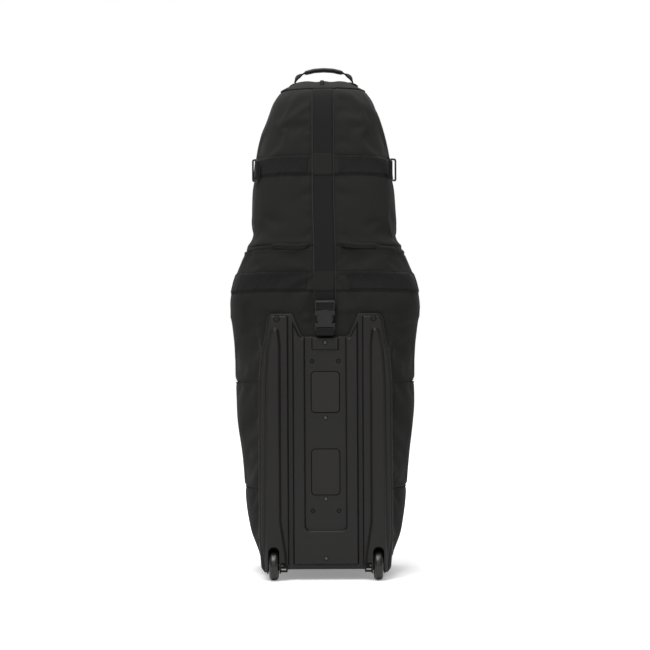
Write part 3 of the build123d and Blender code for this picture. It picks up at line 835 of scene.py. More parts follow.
def ribbon(name: str, path: Array, normal: Array, across: Array, width: float, thick: float,
           out: float = 0.0) -> bpy.types.Object:
    """A flat webbing strip with rounded selvedges along a line.

    Args:
        name: The piece's name.
        path: Points of its middle line in metres.
        normal: Outward direction at each point.
        across: Direction across the strip at each point.
        width: Width in millimetres.
        thick: Thickness in millimetres.
        out: Distance of its underside off the line, in millimetres.

    Returns:
        The strip as a closed mesh.
    """
    half, t = width / 2, thick
    outline = [
        (-half, 0.5), (-half + 0.4 * t, 1.0), (-half * 0.9, 1.12), (-half * 0.5, 1.0), (0, 1.0),
        (half * 0.5, 1.0), (half * 0.9, 1.12), (half - 0.4 * t, 1.0), (half, 0.5),
        (half - 0.4 * t, 0.0), (0, 0.0), (-half + 0.4 * t, 0.0),
    ]
    rings = [path + across * (s * MM) + normal * ((out + d * t) * MM) for s, d in outline]
    points = np.stack(rings, 1)
    rows, columns = points.shape[:2]
    index = np.arange(rows * columns).reshape(rows, columns)
    quads = np.roll(hoop_faces(rows, columns)[:, ::-1], 1, 1)
    faces = [*quads.tolist(), index[0].tolist(), index[-1][::-1].tolist()]
    run = np.concatenate([[0.0], np.cumsum(np.linalg.norm(np.diff(path, axis=0), axis=1))])
    side = np.array([s for s, _ in outline]) * MM
    uv = np.stack(np.broadcast_arrays(side, run[:, None]), -1)
    obj = new_mesh(name, points.reshape(-1, 3), faces, uv.reshape(-1, 2))
    face_outwards(obj)
    return obj


def tube(name: str, path: Array, radius: float, flat: float = 1.0, up: Sequence[float] = (0, 0, 1),
         sides: int = 10, taper: bool = True) -> bpy.types.Object:
    """A round or flattened roll of cloth along a line.

    Args:
        name: The piece's name.
        path: Points in metres.
        radius: Radius in millimetres, along up.
        flat: Depth across up as a share of the radius.
        up: The direction its height is measured in.
        sides: Points round it.
        taper: Draw its ends in to a point.

    Returns:
        The closed tube.
    """
    along = np.gradient(path, axis=0)
    along /= np.linalg.norm(along, axis=1, keepdims=True)
    lift = np.cross(along, np.cross(np.array(up, float), along))
    lift /= np.linalg.norm(lift, axis=1, keepdims=True)
    side = np.cross(along, lift)
    share = np.linspace(0, 1, len(path))
    swell = np.sqrt(np.clip(1 - np.abs(2 * share - 1) ** 6, 0.02, 1)) if taper else share * 0 + 1
    angle = np.linspace(0, 2 * math.pi, sides, endpoint=False)
    r = (radius * MM * swell)[:, None, None]
    ring = lift[:, None] * np.cos(angle)[None, :, None] + side[:, None] * np.sin(angle)[None, :, None] * flat
    points = path[:, None] + ring * r
    rows, columns = points.shape[:2]
    index = np.arange(rows * columns).reshape(rows, columns)
    faces = [*hoop_faces(rows, columns).tolist(), index[0][::-1].tolist(), index[-1].tolist()]
    run = np.concatenate([[0.0], np.cumsum(np.linalg.norm(np.diff(path, axis=0), axis=1))])
    uv = np.stack(np.broadcast_arrays(angle[None, :] * radius * MM, run[:, None]), -1)
    return new_mesh(name, points.reshape(-1, 3), faces, uv.reshape(-1, 2))


def strip(name: str, surface: BodySurface, u: Array, z: Array, thick: float, out: float,
          which: Finish, slot: str) -> bpy.types.Object:
    """A thin strip of cloth or webbing lying on the body.

    Args:
        name: The piece's name.
        surface: The cloth surface.
        u: Places round the body, rows going up and columns going round.
        z: Heights in millimetres, of the same shape.
        thick: Thickness in millimetres.
        out: Distance of its underside off the cloth, in millimetres.
        which: Its finish.
        slot: Its record slot, passed on to finish, which does not use it.

    Returns:
        The closed strip.
    """
    flat = surface.points(u.reshape(-1, 1), z.reshape(-1), out)
    points = flat.reshape(*u.shape, 3)
    obj = new_mesh(name, points.reshape(-1, 3), grid_faces(*u.shape), cloth_uv(points))
    modify(obj, "SOLIDIFY", thickness=thick * MM, offset=1.0, use_rim=True)
    return finish(obj, which, slot)


def line_on(surface: BodySurface, u: Array, z: Array, out: float) -> tuple[Array, Array]:
    """Points and outward directions along a line on the cloth.

    Args:
        surface: The cloth surface.
        u: Places round the body.
        z: Heights in millimetres.
        out: Distance off the cloth in millimetres.

    Returns:
        Points in metres, and directions.
    """
    return surface.points(u[:, None], z, out)[:, 0], surface.normals(u[:, None], z)[:, 0]


def cad_copy(name: str, nodes: Sequence[str], bevel: float = 0.0, angle: float = 40.0,
             segments: int = 2) -> bpy.types.Object:
    """A merged copy of CAD nodes with rounded edges, which stands for them.

    Args:
        name: The piece's name.
        nodes: The CAD nodes it is copied from.
        bevel: Width of the rounding in millimetres.
        angle: Edges sharper than this many degrees are rounded and creased.
        segments: Steps of the rounding.

    Returns:
        The new piece.
    """
    copies = []
    for node in nodes:
        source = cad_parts[node]
        copied = bpy.data.objects.new(name, source.data.copy())
        copied.matrix_world = source.matrix_world.copy()
        bpy.context.scene.collection.objects.link(copied)
        settle(copied)
        copies.append(copied)
    obj = merge(name, copies)
    only(obj)
    bpy.ops.object.mode_set(mode="EDIT")
    bpy.ops.mesh.select_all(action="SELECT")
    bpy.ops.mesh.remove_doubles(threshold=0.00002)
    bpy.ops.mesh.dissolve_limited(angle_limit=math.radians(1.0))
    bpy.ops.object.mode_set(mode="OBJECT")
    if bevel:
        modify(obj, "BEVEL", width=bevel * MM, segments=segments, limit_method="ANGLE",
               angle_limit=math.radians(angle), use_clamp_overlap=True)
    only(obj)
    bpy.ops.object.shade_smooth_by_angle(angle=math.radians(angle))
    if bevel:
        modify(obj, "WEIGHTED_NORMAL", keep_sharp=True, weight=80)
    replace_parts(obj, *nodes)
    return obj


def cut(obj: bpy.types.Object, low: Sequence[float], high: Sequence[float]) -> None:
    """Cut a box-shaped room out of a piece.

    Args:
        obj: The piece.
        low: Lowest corner in millimetres.
        high: Highest corner in millimetres.
    """
    centre = [(a + b) / 2 * MM for a, b in zip(low, high)]
    only(obj)
    bpy.ops.mesh.primitive_cube_add(size=1, location=centre)
    cutter = bpy.context.view_layer.objects.active
    cutter.scale = [(b - a) * MM for a, b in zip(low, high)]
    settle(cutter)
    modify(obj, "BOOLEAN", operation="DIFFERENCE", object=cutter, solver="EXACT")
    bpy.data.objects.remove(cutter)


# ------------------------------------------------------------------------------- sub-assemblies
@dataclass
class ClothBody:
    """The padded cloth body: wrapped panels, front frame, crown, base, and the rolls at the hood seam."""

    surface: BodySurface
    seams: tuple[float, ...] = SEAMS
    corner: float = 6.4
    opening: float = 118.0
    opening_low: float = 350.0
    opening_high: float = 1160.0

    def build(self) -> None:
        """Build every panel of the body."""
        def constant(value: float) -> Callable[[Array], Array]:
            """The same place at every height."""
            return lambda z: np.full(len(z), value)

        def edge(z: Array) -> Array:
            """The side of the front opening, on the right."""
            return self.surface.place_of_x(self.opening, z, self.corner, 10.0)

        body = ("back_panel", "side_panel_left", "side_panel_right")
        hood = ("hood_back_panel", "hood_side_left", "hood_side_right")
        wraps = (("wrap_low", body), ("wrap_middle", body), ("wrap_high", body), ("wrap_hood", hood))
        for (name, nodes), low, high in zip(wraps, self.seams, self.seams[1:]):
            panel = Panel(name, low, high, constant(-self.corner), constant(self.corner), nodes)
            piece = panel.build(self.surface)
            if name == "wrap_low":
                for side in Side:
                    x = side.value * 135.7
                    cut(piece, (x - 19, -260, 20), (x + 19, -109, 93))
            self.keep(piece, 0.55)
        lower = Panel("front_lower", self.seams[0], self.opening_low, constant(self.corner),
                      constant(20 - self.corner), ("front_panel_lower",))
        upper = Panel("front_upper", self.opening_high, self.seams[-1], constant(self.corner),
                      constant(20 - self.corner), ("hood_front_panel",))
        right = Panel("front_frame_right", self.opening_low, self.opening_high,
                      constant(self.corner), edge, ("front_strip_right",))
        left = Panel("front_frame_left", self.opening_low, self.opening_high,
                     lambda z: 20 - edge(z), constant(20 - self.corner), ("front_strip_left",))
        for panel in (lower, upper, right, left):
            self.keep(panel.build(self.surface), 0.5)
        self.keep(self.crown(), 0.5)
        self.keep(self.base(), 0.2)
        self.rolls()
        self.piping()

    @staticmethod
    def keep(piece: bpy.types.Object, fill: float) -> None:
        """Fix a padded piece to the body."""
        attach(piece, "root")

    def crown(self) -> bpy.types.Object:
        """The domed top panel, with a soft hollow behind the handle.

        Returns:
            The crown.
        """
        z = np.concatenate([np.linspace(self.seams[-1], 1311.0, 8), np.full(12, 1312.0)])
        scale = np.concatenate([np.ones(8), np.linspace(0.96, 0.04, 12)])
        u = np.broadcast_to(np.linspace(0, 20, 121)[:-1], (len(z), 120)).copy()
        points = self.surface.points(u, z)
        centre = points[7].mean(0)
        points = centre + (points - centre) * scale[:, None, None]
        points[..., 2] = self.surface.points(u, z, 0, True)[..., 2]
        inner = (scale < 1)[:, None]
        points[..., 2] += np.where(inner, (1 - scale[:, None]) * 1.2 * MM, 0)
        x, y = points[..., 0] / MM, points[..., 1] / MM
        points[..., 2] -= 3.0 * MM * bump_at(np.abs(x), 20.0, 16.0) * bump_at(y, -60.0, 26.0)
        points[..., 2] += 2.6 * MM * bump_at(np.abs(x), 112.0, 15.0) * bump_at(y, -70.0, 60.0)
        rows, columns = points.shape[:2]
        index = np.arange(rows * columns).reshape(rows, columns)
        verts = np.concatenate([points.reshape(-1, 3), points[-1].mean(0)[None]])
        top = index[-1].tolist()
        fan = [[top[k], top[(k + 1) % columns], len(verts) - 1] for k in range(columns)]
        faces = [*hoop_faces(rows, columns).tolist(), *fan]
        obj = new_mesh("crown", verts, faces, verts[:, :2])
        modify(obj, "SOLIDIFY", thickness=6.0 * MM, offset=-1.0, use_rim=True)
        finish(obj, Finish.CLOTH, "cloth")
        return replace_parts(obj, "crown_panel")

    def base(self) -> bpy.types.Object:
        """The flat underside, let in round the wheels.

        Returns:
            The base.
        """
        u = np.linspace(0, 20, 121)[:-1]
        rim = self.surface.bare(u[None, :], np.array([47.0]))[0]
        centre = rim.mean(0)
        rings = np.stack([centre + (rim - centre) * s for s in (0.985, 0.9, 0.6, 0.3, 0.05)])
        rings[..., 2] = 47.0 * MM
        rows, columns = rings.shape[:2]
        index = np.arange(rows * columns).reshape(rows, columns)
        following = np.roll(index, -1, 1)
        quads = np.stack([index[:-1], index[1:], following[1:], following[:-1]], -1).reshape(-1, 4)
        verts = np.concatenate([rings.reshape(-1, 3), rings[-1].mean(0)[None]])
        fan = [[following[-1, k], index[-1, k], len(verts) - 1] for k in range(columns)]
        obj = new_mesh("base", verts, [*quads.tolist(), *fan], verts[:, :2])
        modify(obj, "SOLIDIFY", thickness=8.0 * MM, offset=-1.0, use_rim=True)
        for side in Side:
            x = side.value * 135.7
            cut(obj, (x - 19, -260, 20), (x + 19, -109, 93))
        finish(obj, Finish.CLOTH, "cloth")
        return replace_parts(obj, "base_tray")

    def rolls(self) -> None:
        """The folded rolls of cloth where the hood meets the body, two on either side of the strap."""
        spans = [
            ("roll_left_outer", -202.0, -122.0, 857.0, 872.0),
            ("roll_left_inner", -138.0, -40.0, 869.0, 873.0),
            ("roll_right_inner", 36.0, 140.0, 877.0, 869.0),
            ("roll_right_outer", 128.0, 190.0, 870.0, 858.0),
        ]
        for number, (name, x0, x1, z0, z1) in enumerate(spans):
            z = np.linspace(z0, z1, 40)
            z = z + 1.6 * np.sin(np.linspace(0.4, 5.4, 40) + number)
            low, high = (-4.4, 0.0) if x1 < 0 else (0.0, 4.4)
            tries = np.linspace(low, high, 160)
            xs = self.surface.bare(np.broadcast_to(tries, (40, 160)).copy(), z)[..., 0] / MM
            wanted = np.linspace(x0, x1, 40)
            u = np.array([np.interp(x, row, tries) for x, row in zip(wanted, xs)])
            path, normal = line_on(self.surface, u, z, 1.0 + 0.8 * (number % 2))
            upper = tube(f"{name}_upper", path, 5.2, 0.75, (0, 0, 1), 14)
            lower_path = path + np.array([0, 0, -6.2 * MM]) - normal * 0.6 * MM
            lower = tube(f"{name}_lower", lower_path[2:-2], 3.4, 0.8, (0, 0, 1), 12)
            piece = finish(merge(name, [upper, lower]), Finish.CLOTH, "cloth")
            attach(piece, "root")

    def piping(self) -> None:
        """Bound seams round the body and the crown."""
        u = np.linspace(-self.corner, self.corner, 260)
        for name, level, droop in (("low", 236.0, 5.0), ("middle", 514.0, 6.0)):
            for side in Side:
                part = u[u * side.value > 4.1]
                z = level - droop * bump_at(np.abs(part), 5.2, 0.9)
                path, normal = line_on(self.surface, part, z, 0.3)
                seam = tube(f"seam_{name}_{side.word}", path, 1.7, 1.0, (0, 0, 1), 8)
                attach(finish(seam, Finish.TAPE, "webbing"), "root")
                sewn = stitches(f"stitch_{name}_{side.word}", path + [0, 0, 6 * MM], normal)
                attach(finish(sewn, Finish.THREAD, "webbing"), "root")
        ring = np.linspace(0, 20, 300)
        path, _ = line_on(self.surface, ring, np.full(300, SEAMS[-1] + 1.0), 0.2)
        seam = tube("seam_crown", path, 1.2, 1.0, (0, 0, 1), 8, False)
        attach(finish(seam, Finish.CLOTH, "webbing"), "root")


@dataclass
class WebbingSet:
    """The two webbing bands and the strap down the back, with their bindings and stitch rows."""

    surface: BodySurface
    width: float = 50.0
    thick: float = 1.8
    upper: float = UPPER_BAND
    lower: float = LOWER_BAND

    def build(self) -> None:
        """Build the bands, the strap and what is sewn to them."""
        self.band("band_upper", self.upper, 5.2, "band_upper")
        self.band("band_lower", self.lower, 5.9, "band_lower")
        middle = np.array([self.upper])
        near = float(self.surface.place_of_x(37.0, middle, 0.0, 2.0)[0])
        wide = float(self.surface.place_of_x(50.0, middle, 0.0, 2.0)[0])
        self.patch("patch_upper_right", self.upper, near, 5.1)
        self.patch("patch_upper_left", self.upper, -5.1, -near)
        self.patch("patch_lower_right", self.lower, 0.75 * wide, 5.8)
        self.patch("patch_lower_left", self.lower, -5.8, -0.75 * near)
        self.strap()

    @staticmethod
    def droop(u: Array) -> Array:
        """How far a band hangs down at each place round the body, in millimetres."""
        return 5.0 * smoothstep(1.2, 4.0, np.abs(u))

    def patch(self, name: str, level: float, start: float, end: float) -> None:
        """Sew a dense webbing patch on a band, from near the strap out to the band's end.

        Args:
            name: The patch's name.
            level: Height of the band's middle line.
            start: Place round the body of its left end.
            end: Place round the body of its right end.
        """
        u = np.broadcast_to(np.linspace(start, end, 110), (10, 110)).copy()
        tall = self.width / 2 - 2.6
        z = level + np.linspace(-tall, tall, 10)[:, None] - self.droop(u)
        piece = strip(name, self.surface, u, z, 0.9, 1.6, Finish.WEBBING, "webbing")
        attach(piece, "root")

    def band(self, name: str, level: float, reach: float, node: str) -> None:
        """Build one band with its bound edges.

        Args:
            name: The piece's name.
            level: Height of its middle line.
            reach: Place round the body where it ends on either side.
            node: The CAD node it stands for.
        """
        u = np.broadcast_to(np.linspace(-reach, reach, 240), (12, 240)).copy()
        rise = np.linspace(-self.width / 2, self.width / 2, 12)[:, None]
        wave = 0.9 * np.sin(u * 3.1 + level) * smoothstep(1.5, 3.0, np.abs(u))
        z = level + rise - self.droop(u) + wave
        piece = strip(name, self.surface, u, z, 1.1, 0.4, Finish.CLOTH, "webbing")
        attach(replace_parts(piece, node), "root")
        for word, row, shift in (("top", -1, 1.6), ("bottom", 0, -1.6)):
            path, normal = line_on(self.surface, u[row], z[row] + shift, 0.6)
            edge = tube(f"{name}_binding_{word}", path, 0.9, 1.0, (0, 0, 1), 8)
            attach(finish(edge, Finish.CLOTH, "webbing"), "root")
            sewn, _ = line_on(self.surface, u[row], z[row] - 2.4 * shift, 0.4 + self.thick)
            row_piece = stitches(f"{name}_stitch_{word}", sewn, normal)
            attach(finish(row_piece, Finish.THREAD, "webbing"), "root")

    def strap(self) -> None:
        """Build the centre strap, its piping and the stitch rows across it."""
        z = np.linspace(714.0, 1281.0, 200)
        lean = self.surface.lean(z)
        across = np.linspace(-25.0, 25.0, 11)
        tries = np.linspace(-2.0, 2.0, 120)
        xs = self.surface.bare(np.broadcast_to(tries, (len(z), 120)).copy(), z)[..., 0] / MM

        def at(offset: float) -> Array:
            """Places round the body that run beside the middle line."""
            return np.array([np.interp(offset + shift, row, tries) for shift, row in zip(lean, xs)])

        u = np.stack([at(offset) for offset in across], 1)
        levels = np.broadcast_to(z[:, None], u.shape).copy()
        piece = strip("centre_strap_webbing", self.surface, u, levels, 1.8, 1.7,
                      Finish.WEBBING, "webbing")
        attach(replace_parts(piece, "centre_strap"), "root")
        for side in Side:
            path, normal = line_on(self.surface, at(side.value * 27.4), z, 1.2)
            # the piping's paler colour is a painted highlight
            cord = tube(f"strap_piping_{side.word}", path, 1.5, 1.0, (1, 0, 0), 10)
            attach(finish(cord, Finish.PIPING, "cloth"), "root")
            sewn, normal = line_on(self.surface, at(side.value * 22.0), z, 3.6)
            row = stitches(f"strap_stitch_{side.word}", sewn, normal)
            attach(finish(row, Finish.THREAD, "webbing"), "root")
        for word, low, high in (("upper", 1054.0, 1110.0), ("lower", 752.0, 803.0)):
            rows = np.abs(z[:, None] - np.linspace(low, high, 16)).argmin(0)
            keeper = strip(f"strap_keeper_{word}", self.surface, u[rows], levels[rows], 0.6, 3.6,
                           Finish.CLOTH, "cloth")
            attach(keeper, "root")
        for number, level in enumerate((1109.0, 1103.0, 1056.0, 802.0, 796.0, 754.0)):
            span = np.linspace(-23.0, 23.0, 24)
            place = np.array([np.interp(x + np.interp(level, z, lean), xs[np.abs(z - level).argmin()], tries)
                              for x in span])
            path, normal = line_on(self.surface, place, np.full(24, level), 4.0)
            cross = stitches(f"strap_cross_{number}", path, normal)
            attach(finish(cross, Finish.THREAD, "webbing"), "root")


@dataclass
class FrontPlane:
    """The leaning front plane as axes: across, up the plane, and out of it."""

    y: float = 150.0
    z: float = 350.0
    tilt: float = math.radians(3.0)

    def points(self, x: Array, u: Array, d: Array) -> Array:
        """Points in metres for places on the plane in millimetres."""
        x, u, d = np.broadcast_arrays(x, u, d)
        y = self.y - u * math.sin(self.tilt) + d * math.cos(self.tilt)
        z = self.z + u * math.cos(self.tilt) + d * math.sin(self.tilt)
        return np.stack([x, y, z], -1) * MM

    def cushion(self, name: str, x: tuple[float, float], u: tuple[float, float],
                d: tuple[float, float], puff: float, cell: float = 6.0) -> bpy.types.Object:
        """A closed padded panel whose faces swell between its sewn edges.

        Args:
            name: The piece's name.
            x: Its sides.
            u: Its ends, up the plane.
            d: Its inner and outer depth.
            puff: How far its middle swells outwards.
            cell: Size of its mesh cells.

        Returns:
            The panel, closed and smooth.
        """
        rows = int((u[1] - u[0]) / cell)
        columns = int((x[1] - x[0]) / cell)
        us, xs = np.meshgrid(np.linspace(*u, rows), np.linspace(x[1], x[0], columns), indexing="ij")
        edge = np.minimum(np.minimum(xs - x[0], x[1] - xs), np.minimum(us - u[0], u[1] - us))
        swell = 1 - np.exp(-edge / 16.0)
        sway = 0.8 * np.sin(us / 41.0 + xs / 30.0) + 0.6 * np.sin(us / 23.0 - xs / 37.0)
        roll = 1.6 * np.exp(-((edge / 3.0) ** 2))
        depth = d[1] - roll + (puff + sway) * swell
        front = self.points(xs, us, depth)
        obj = new_mesh(name, front.reshape(-1, 3), grid_faces(rows, columns), cloth_uv(front))
        modify(obj, "SOLIDIFY", thickness=(d[1] - d[0]) * MM, offset=-1.0, use_rim=True)
        return obj


@dataclass
class FrontFlaps:
    """The two front flaps, each hinged along its side on a cloth binding, and their zip halves."""

    plane: FrontPlane
    half: float = 117.5
    gap: float = 10.0
    length: float = 811.0
    tooth_pitch: float = 3.2

    def build(self) -> None:
        """Build both flaps."""
        for side in Side:
            self.flap(side)
            self.binding(side)
            self.chain(side)

    def span(self, side: Side, low: float, high: float) -> tuple[float, float]:
        """An X range on one side."""
        return tuple(sorted((side.value * low, side.value * high)))

    def flap(self, side: Side) -> None:
        """One padded flap."""
        body = f"front_flap_{side.word}"
        piece = self.plane.cushion(f"{body}_skin", self.span(side, self.gap, self.half),
                                   (2.0, self.length - 2.0), (-6.0, 0.0), 2.2)
        finish(piece, Finish.CLOTH, "cloth")
        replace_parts(piece, f"flap_{side.word}")
        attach(piece, body)

    def binding(self, side: Side) -> None:
        """The strip of cloth that a flap turns on."""
        u = np.linspace(4.0, self.length - 4.0, 120)
        x = np.linspace(side.value * 127.0, side.value * 109.0, 11)
        if side is Side.LEFT:
            x = x[::-1]
        us, xs = np.meshgrid(u, x, indexing="ij")
        arch = 1.6 + 1.2 * bump_at(np.abs(xs), 118.0, 5.0)
        front = self.plane.points(xs, us, arch)
        obj = new_mesh(f"flap_binding_{side.word}", front.reshape(-1, 3), grid_faces(*us.shape),
                       cloth_uv(front))
        modify(obj, "SOLIDIFY", thickness=1.0 * MM, offset=-1.0, use_rim=True)
        finish(obj, Finish.TAPE, "webbing")
        start = self.plane.points(side.value * 123.0, 400.0, 0.0)
        end = self.plane.points(side.value * 113.0, 400.0, 0.0)
        f"front_flap_{side.word}"
        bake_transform(obj)

    def chain(self, side: Side) -> None:
        """One half of the main zip: a woven tape and its row of moulded teeth."""
        body = f"front_flap_{side.word}"
        xs = self.span(side, 1.2, 22.0)
        tape = self.plane.cushion(f"zip_tape_{side.word}", xs, (4.0, self.length - 4.0), (0.1, 1.2), 0.0, 4.0)
        finish(tape, Finish.TAPE, "zip_chain")
        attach(tape, body)
        count = int((self.length - 12.0) / self.tooth_pitch)
        tooth = self.tooth(side)
        pitch = self.plane.points(0, self.tooth_pitch, 0) - self.plane.points(0, 0, 0)
        modify(tooth, "ARRAY", count=count, use_relative_offset=False, use_constant_offset=True,
               constant_offset_displace=pitch)
        finish(tooth, Finish.ACETAL, "zip_chain")
        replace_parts(tooth, f"zipper_chain_{side.word}")
        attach(tooth, body)

    def tooth(self, side: Side) -> bpy.types.Object:
        """The first moulded tooth of a row: a block drawn out to a narrow head."""
        bpy.ops.object.select_all(action="DESELECT")
        bpy.ops.mesh.primitive_cube_add(size=1)
        obj = bpy.context.view_layer.objects.active
        obj.name = f"zip_teeth_{side.word}"
        bpy.ops.object.mode_set(mode="EDIT")
        bpy.ops.mesh.select_all(action="SELECT")
        bpy.ops.transform.resize(value=(2.6 * MM, 3.2 * MM, 2.0 * MM))
        bpy.ops.mesh.bevel(offset=0.4 * MM, segments=1)
        bpy.ops.object.mode_set(mode="OBJECT")
        shift = 0.0 if side is Side.RIGHT else self.tooth_pitch / 2
        place = Matrix.Translation(Vector(self.plane.points(side.value * 2.1, 6.0 + shift, 1.2)))
        turn = Matrix.Rotation(math.pi / 2 - self.plane.tilt, 4, "X")
        obj.matrix_world = place @ turn
        settle(obj)
        return obj


@dataclass
class FrontPocket:
    """The box pocket low on the front, with a padded lid on a bound hinge and a short zip."""

    plane: FrontPlane
    half: float = 105.0
    low: float = -255.0
    high: float = -25.0

    def build(self) -> None:
        """Build the walls, lid, hinge binding and zip."""
        walls = cad_copy("pocket_frame", ["pocket_walls"], 2.4, 50.0, 3)
        finish(walls, Finish.CLOTH, "cloth")
        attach(walls, "root")
        lid = self.plane.cushion("pocket_lid_skin", (-self.half, self.half), (self.low, self.high),
                                 (28.4, 31.7), 7.0)
        finish(lid, Finish.CLOTH, "cloth")
        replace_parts(lid, "pocket_flap")
        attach(lid, "pocket_lid")
        chain = cad_copy("pocket_zip", ["pocket_chain"], 0.4, 40.0)
        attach(finish(chain, Finish.TAPE, "zip_chain"), "root")
        self.hinge()

    def hinge(self) -> None:
        """The strip of cloth that the lid turns on, sewn under the lower wall and on the lid."""
        line = np.array([
            (-0.3, 17.0), (-0.3, 22.0), (-0.3, 26.5), (-0.4, 28.4), (-0.6, 30.4),
            (2.0, 32.3), (4.0, 33.8), (7.5, 35.3),
        ])
        fine = np.linspace(0, len(line) - 1, 22)
        u, d = (np.interp(fine, np.arange(len(line)), column) for column in line.T)
        x = np.linspace(self.half - 2.0, 2.0 - self.half, 40)
        front = self.plane.points(x[None, :], self.low + u[:, None], d[:, None])
        obj = new_mesh("pocket_hinge_binding", front.reshape(-1, 3), grid_faces(22, 40), cloth_uv(front))
        modify(obj, "SOLIDIFY", thickness=0.8 * MM, offset=1.0, use_rim=True)
        finish(obj, Finish.TAPE, "webbing")
        start = self.plane.points(0.0, self.low, 26.4)
        end = self.plane.points(0.0, self.low, 30.4)
        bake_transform(obj)


@dataclass
class TopHandle:
    """The carry handle: a webbing arch pinched at its feet, with a sewn grip round its middle."""

    twist: float = 26.0
    twist_at: float = 68.0
    line: tuple[tuple[float, float], ...] = (
        (78.0, 1314.6), (71.0, 1329.0), (62.0, 1335.6), (50.0, 1341.0), (25.0, 1347.0), (0.0, 1348.6),
    )

    def path(self, count: int, reach: float) -> tuple[Array, Array]:
        """The handle's middle line and its outward direction.

        Args:
            count: Number of points.
            reach: How far out in X it goes.

        Returns:
            Points in metres, and directions.
        """
        known = np.array([(-x, z) for x, z in self.line] + list(self.line[-2::-1]))
        run = np.concatenate([[0], np.cumsum(np.hypot(*np.diff(known, axis=0).T))])
        fine = np.linspace(0, run[-1], 400)
        x, z = np.interp(fine, run, known[:, 0]), np.interp(fine, run, known[:, 1])
        kernel = np.hanning(31) / np.hanning(31).sum()
        z = np.convolve(np.pad(z, 15, mode="reflect", reflect_type="odd"), kernel, "valid")
        x = np.convolve(np.pad(x, 15, mode="reflect", reflect_type="odd"), kernel, "valid")
        inside = np.abs(x) <= reach
        x, z = x[inside], z[inside]
        share = np.linspace(0, 1, len(x))
        wanted = np.linspace(0, 1, count)
        path = np.stack([np.interp(wanted, share, x), wanted * 0, np.interp(wanted, share, z)], 1) * MM
        along = np.gradient(path, axis=0)
        normal = np.stack([-along[:, 2], along[:, 1] * 0, along[:, 0]], 1)
        return path, normal / np.linalg.norm(normal, axis=1, keepdims=True)

    def build(self) -> None:
        """Build the webbing, the grip with its seam, and the sewn patches under its feet."""
        path, normal = self.path(160, 90.0)
        across = np.broadcast_to(np.array([0.0, 1.0, 0.0]), path.shape)
        reach = np.abs(path[:, 0]) / MM
        turn = np.radians(self.twist) * bump_at(reach, self.twist_at, 11.0)[:, None]
        narrow = 0.2 + 0.8 * smoothstep(1.3135, 1.3300, path[:, 2])[:, None]
        turned = (across * np.cos(turn) + normal * np.sin(turn)) * narrow
        web = ribbon("handle_strap", path, normal * np.cos(turn) - across * np.sin(turn), turned,
                     25.0, 3.4, -1.7)
        finish(web, Finish.WEBBING, "webbing")
        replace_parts(web, "handle_webbing")
        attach(web, "top_handle")
        path, normal = self.path(90, 51.0)
        grip = self.grip(path, normal)
        finish(grip, Finish.WRAP, "grip_rubber")
        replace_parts(grip, "handle_grip")
        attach(grip, "top_handle")
        edge = path + across[:90] * -15.7 * MM
        sewn = stitches("handle_grip_seam", edge, -across[:90], 3.0, 1.2, 1.1)
        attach(finish(sewn, Finish.THREAD, "webbing"), "top_handle")
        anchors = cad_copy("handle_patches", ["handle_anchors"], 0.5, 40.0)
        only(anchors)
        bpy.ops.object.mode_set(mode="EDIT")
        bpy.ops.mesh.select_all(action="SELECT")
        bpy.ops.mesh.subdivide(number_cuts=5)
        bpy.ops.object.mode_set(mode="OBJECT")
        co = np.array([v.co for v in anchors.data.vertices])
        over = np.maximum(np.abs(co[:, 0]) / MM - 68.0, 0.0)
        co[:, 2] -= 0.016 * over**2 * MM
        anchors.data.vertices.foreach_set("co", co.ravel())
        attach(finish(anchors, Finish.WEBBING, "webbing"), "root")

    @staticmethod
    def grip(path: Array, normal: Array) -> bpy.types.Object:
        """The wrapped grip, drawn in at its ends.

        Args:
            path: Its middle line.
            normal: Its outward direction.

        Returns:
            The closed grip.
        """
        share = np.linspace(0, 1, len(path))
        swell = (1 - np.abs(2 * share - 1) ** 12) ** 0.5 * 0.45 + 0.55
        angle = np.linspace(0, 2 * math.pi, 28, endpoint=False)
        width = 15.6 * np.sign(np.cos(angle)) * np.abs(np.cos(angle)) ** 0.6
        height = 5.3 * np.sign(np.sin(angle)) * np.abs(np.sin(angle)) ** 0.75
        side = np.array([0.0, 1.0, 0.0])
        ring = side * width[:, None, None] * swell[None, :, None] * MM
        ring = ring + normal[None] * height[:, None, None] * swell[None, :, None] * MM
        points = (path[None] + ring).transpose(1, 0, 2)
        rows, columns = points.shape[:2]
        index = np.arange(rows * columns).reshape(rows, columns)
        quads = np.roll(hoop_faces(rows, columns)[:, ::-1], 1, 1)
        faces = [*quads.tolist(), index[0].tolist(), index[-1][::-1].tolist()]
        obj = new_mesh("handle_grip_wrap", points.reshape(-1, 3), faces, points.reshape(-1, 3)[:, :2])
        face_outwards(obj)
        return obj


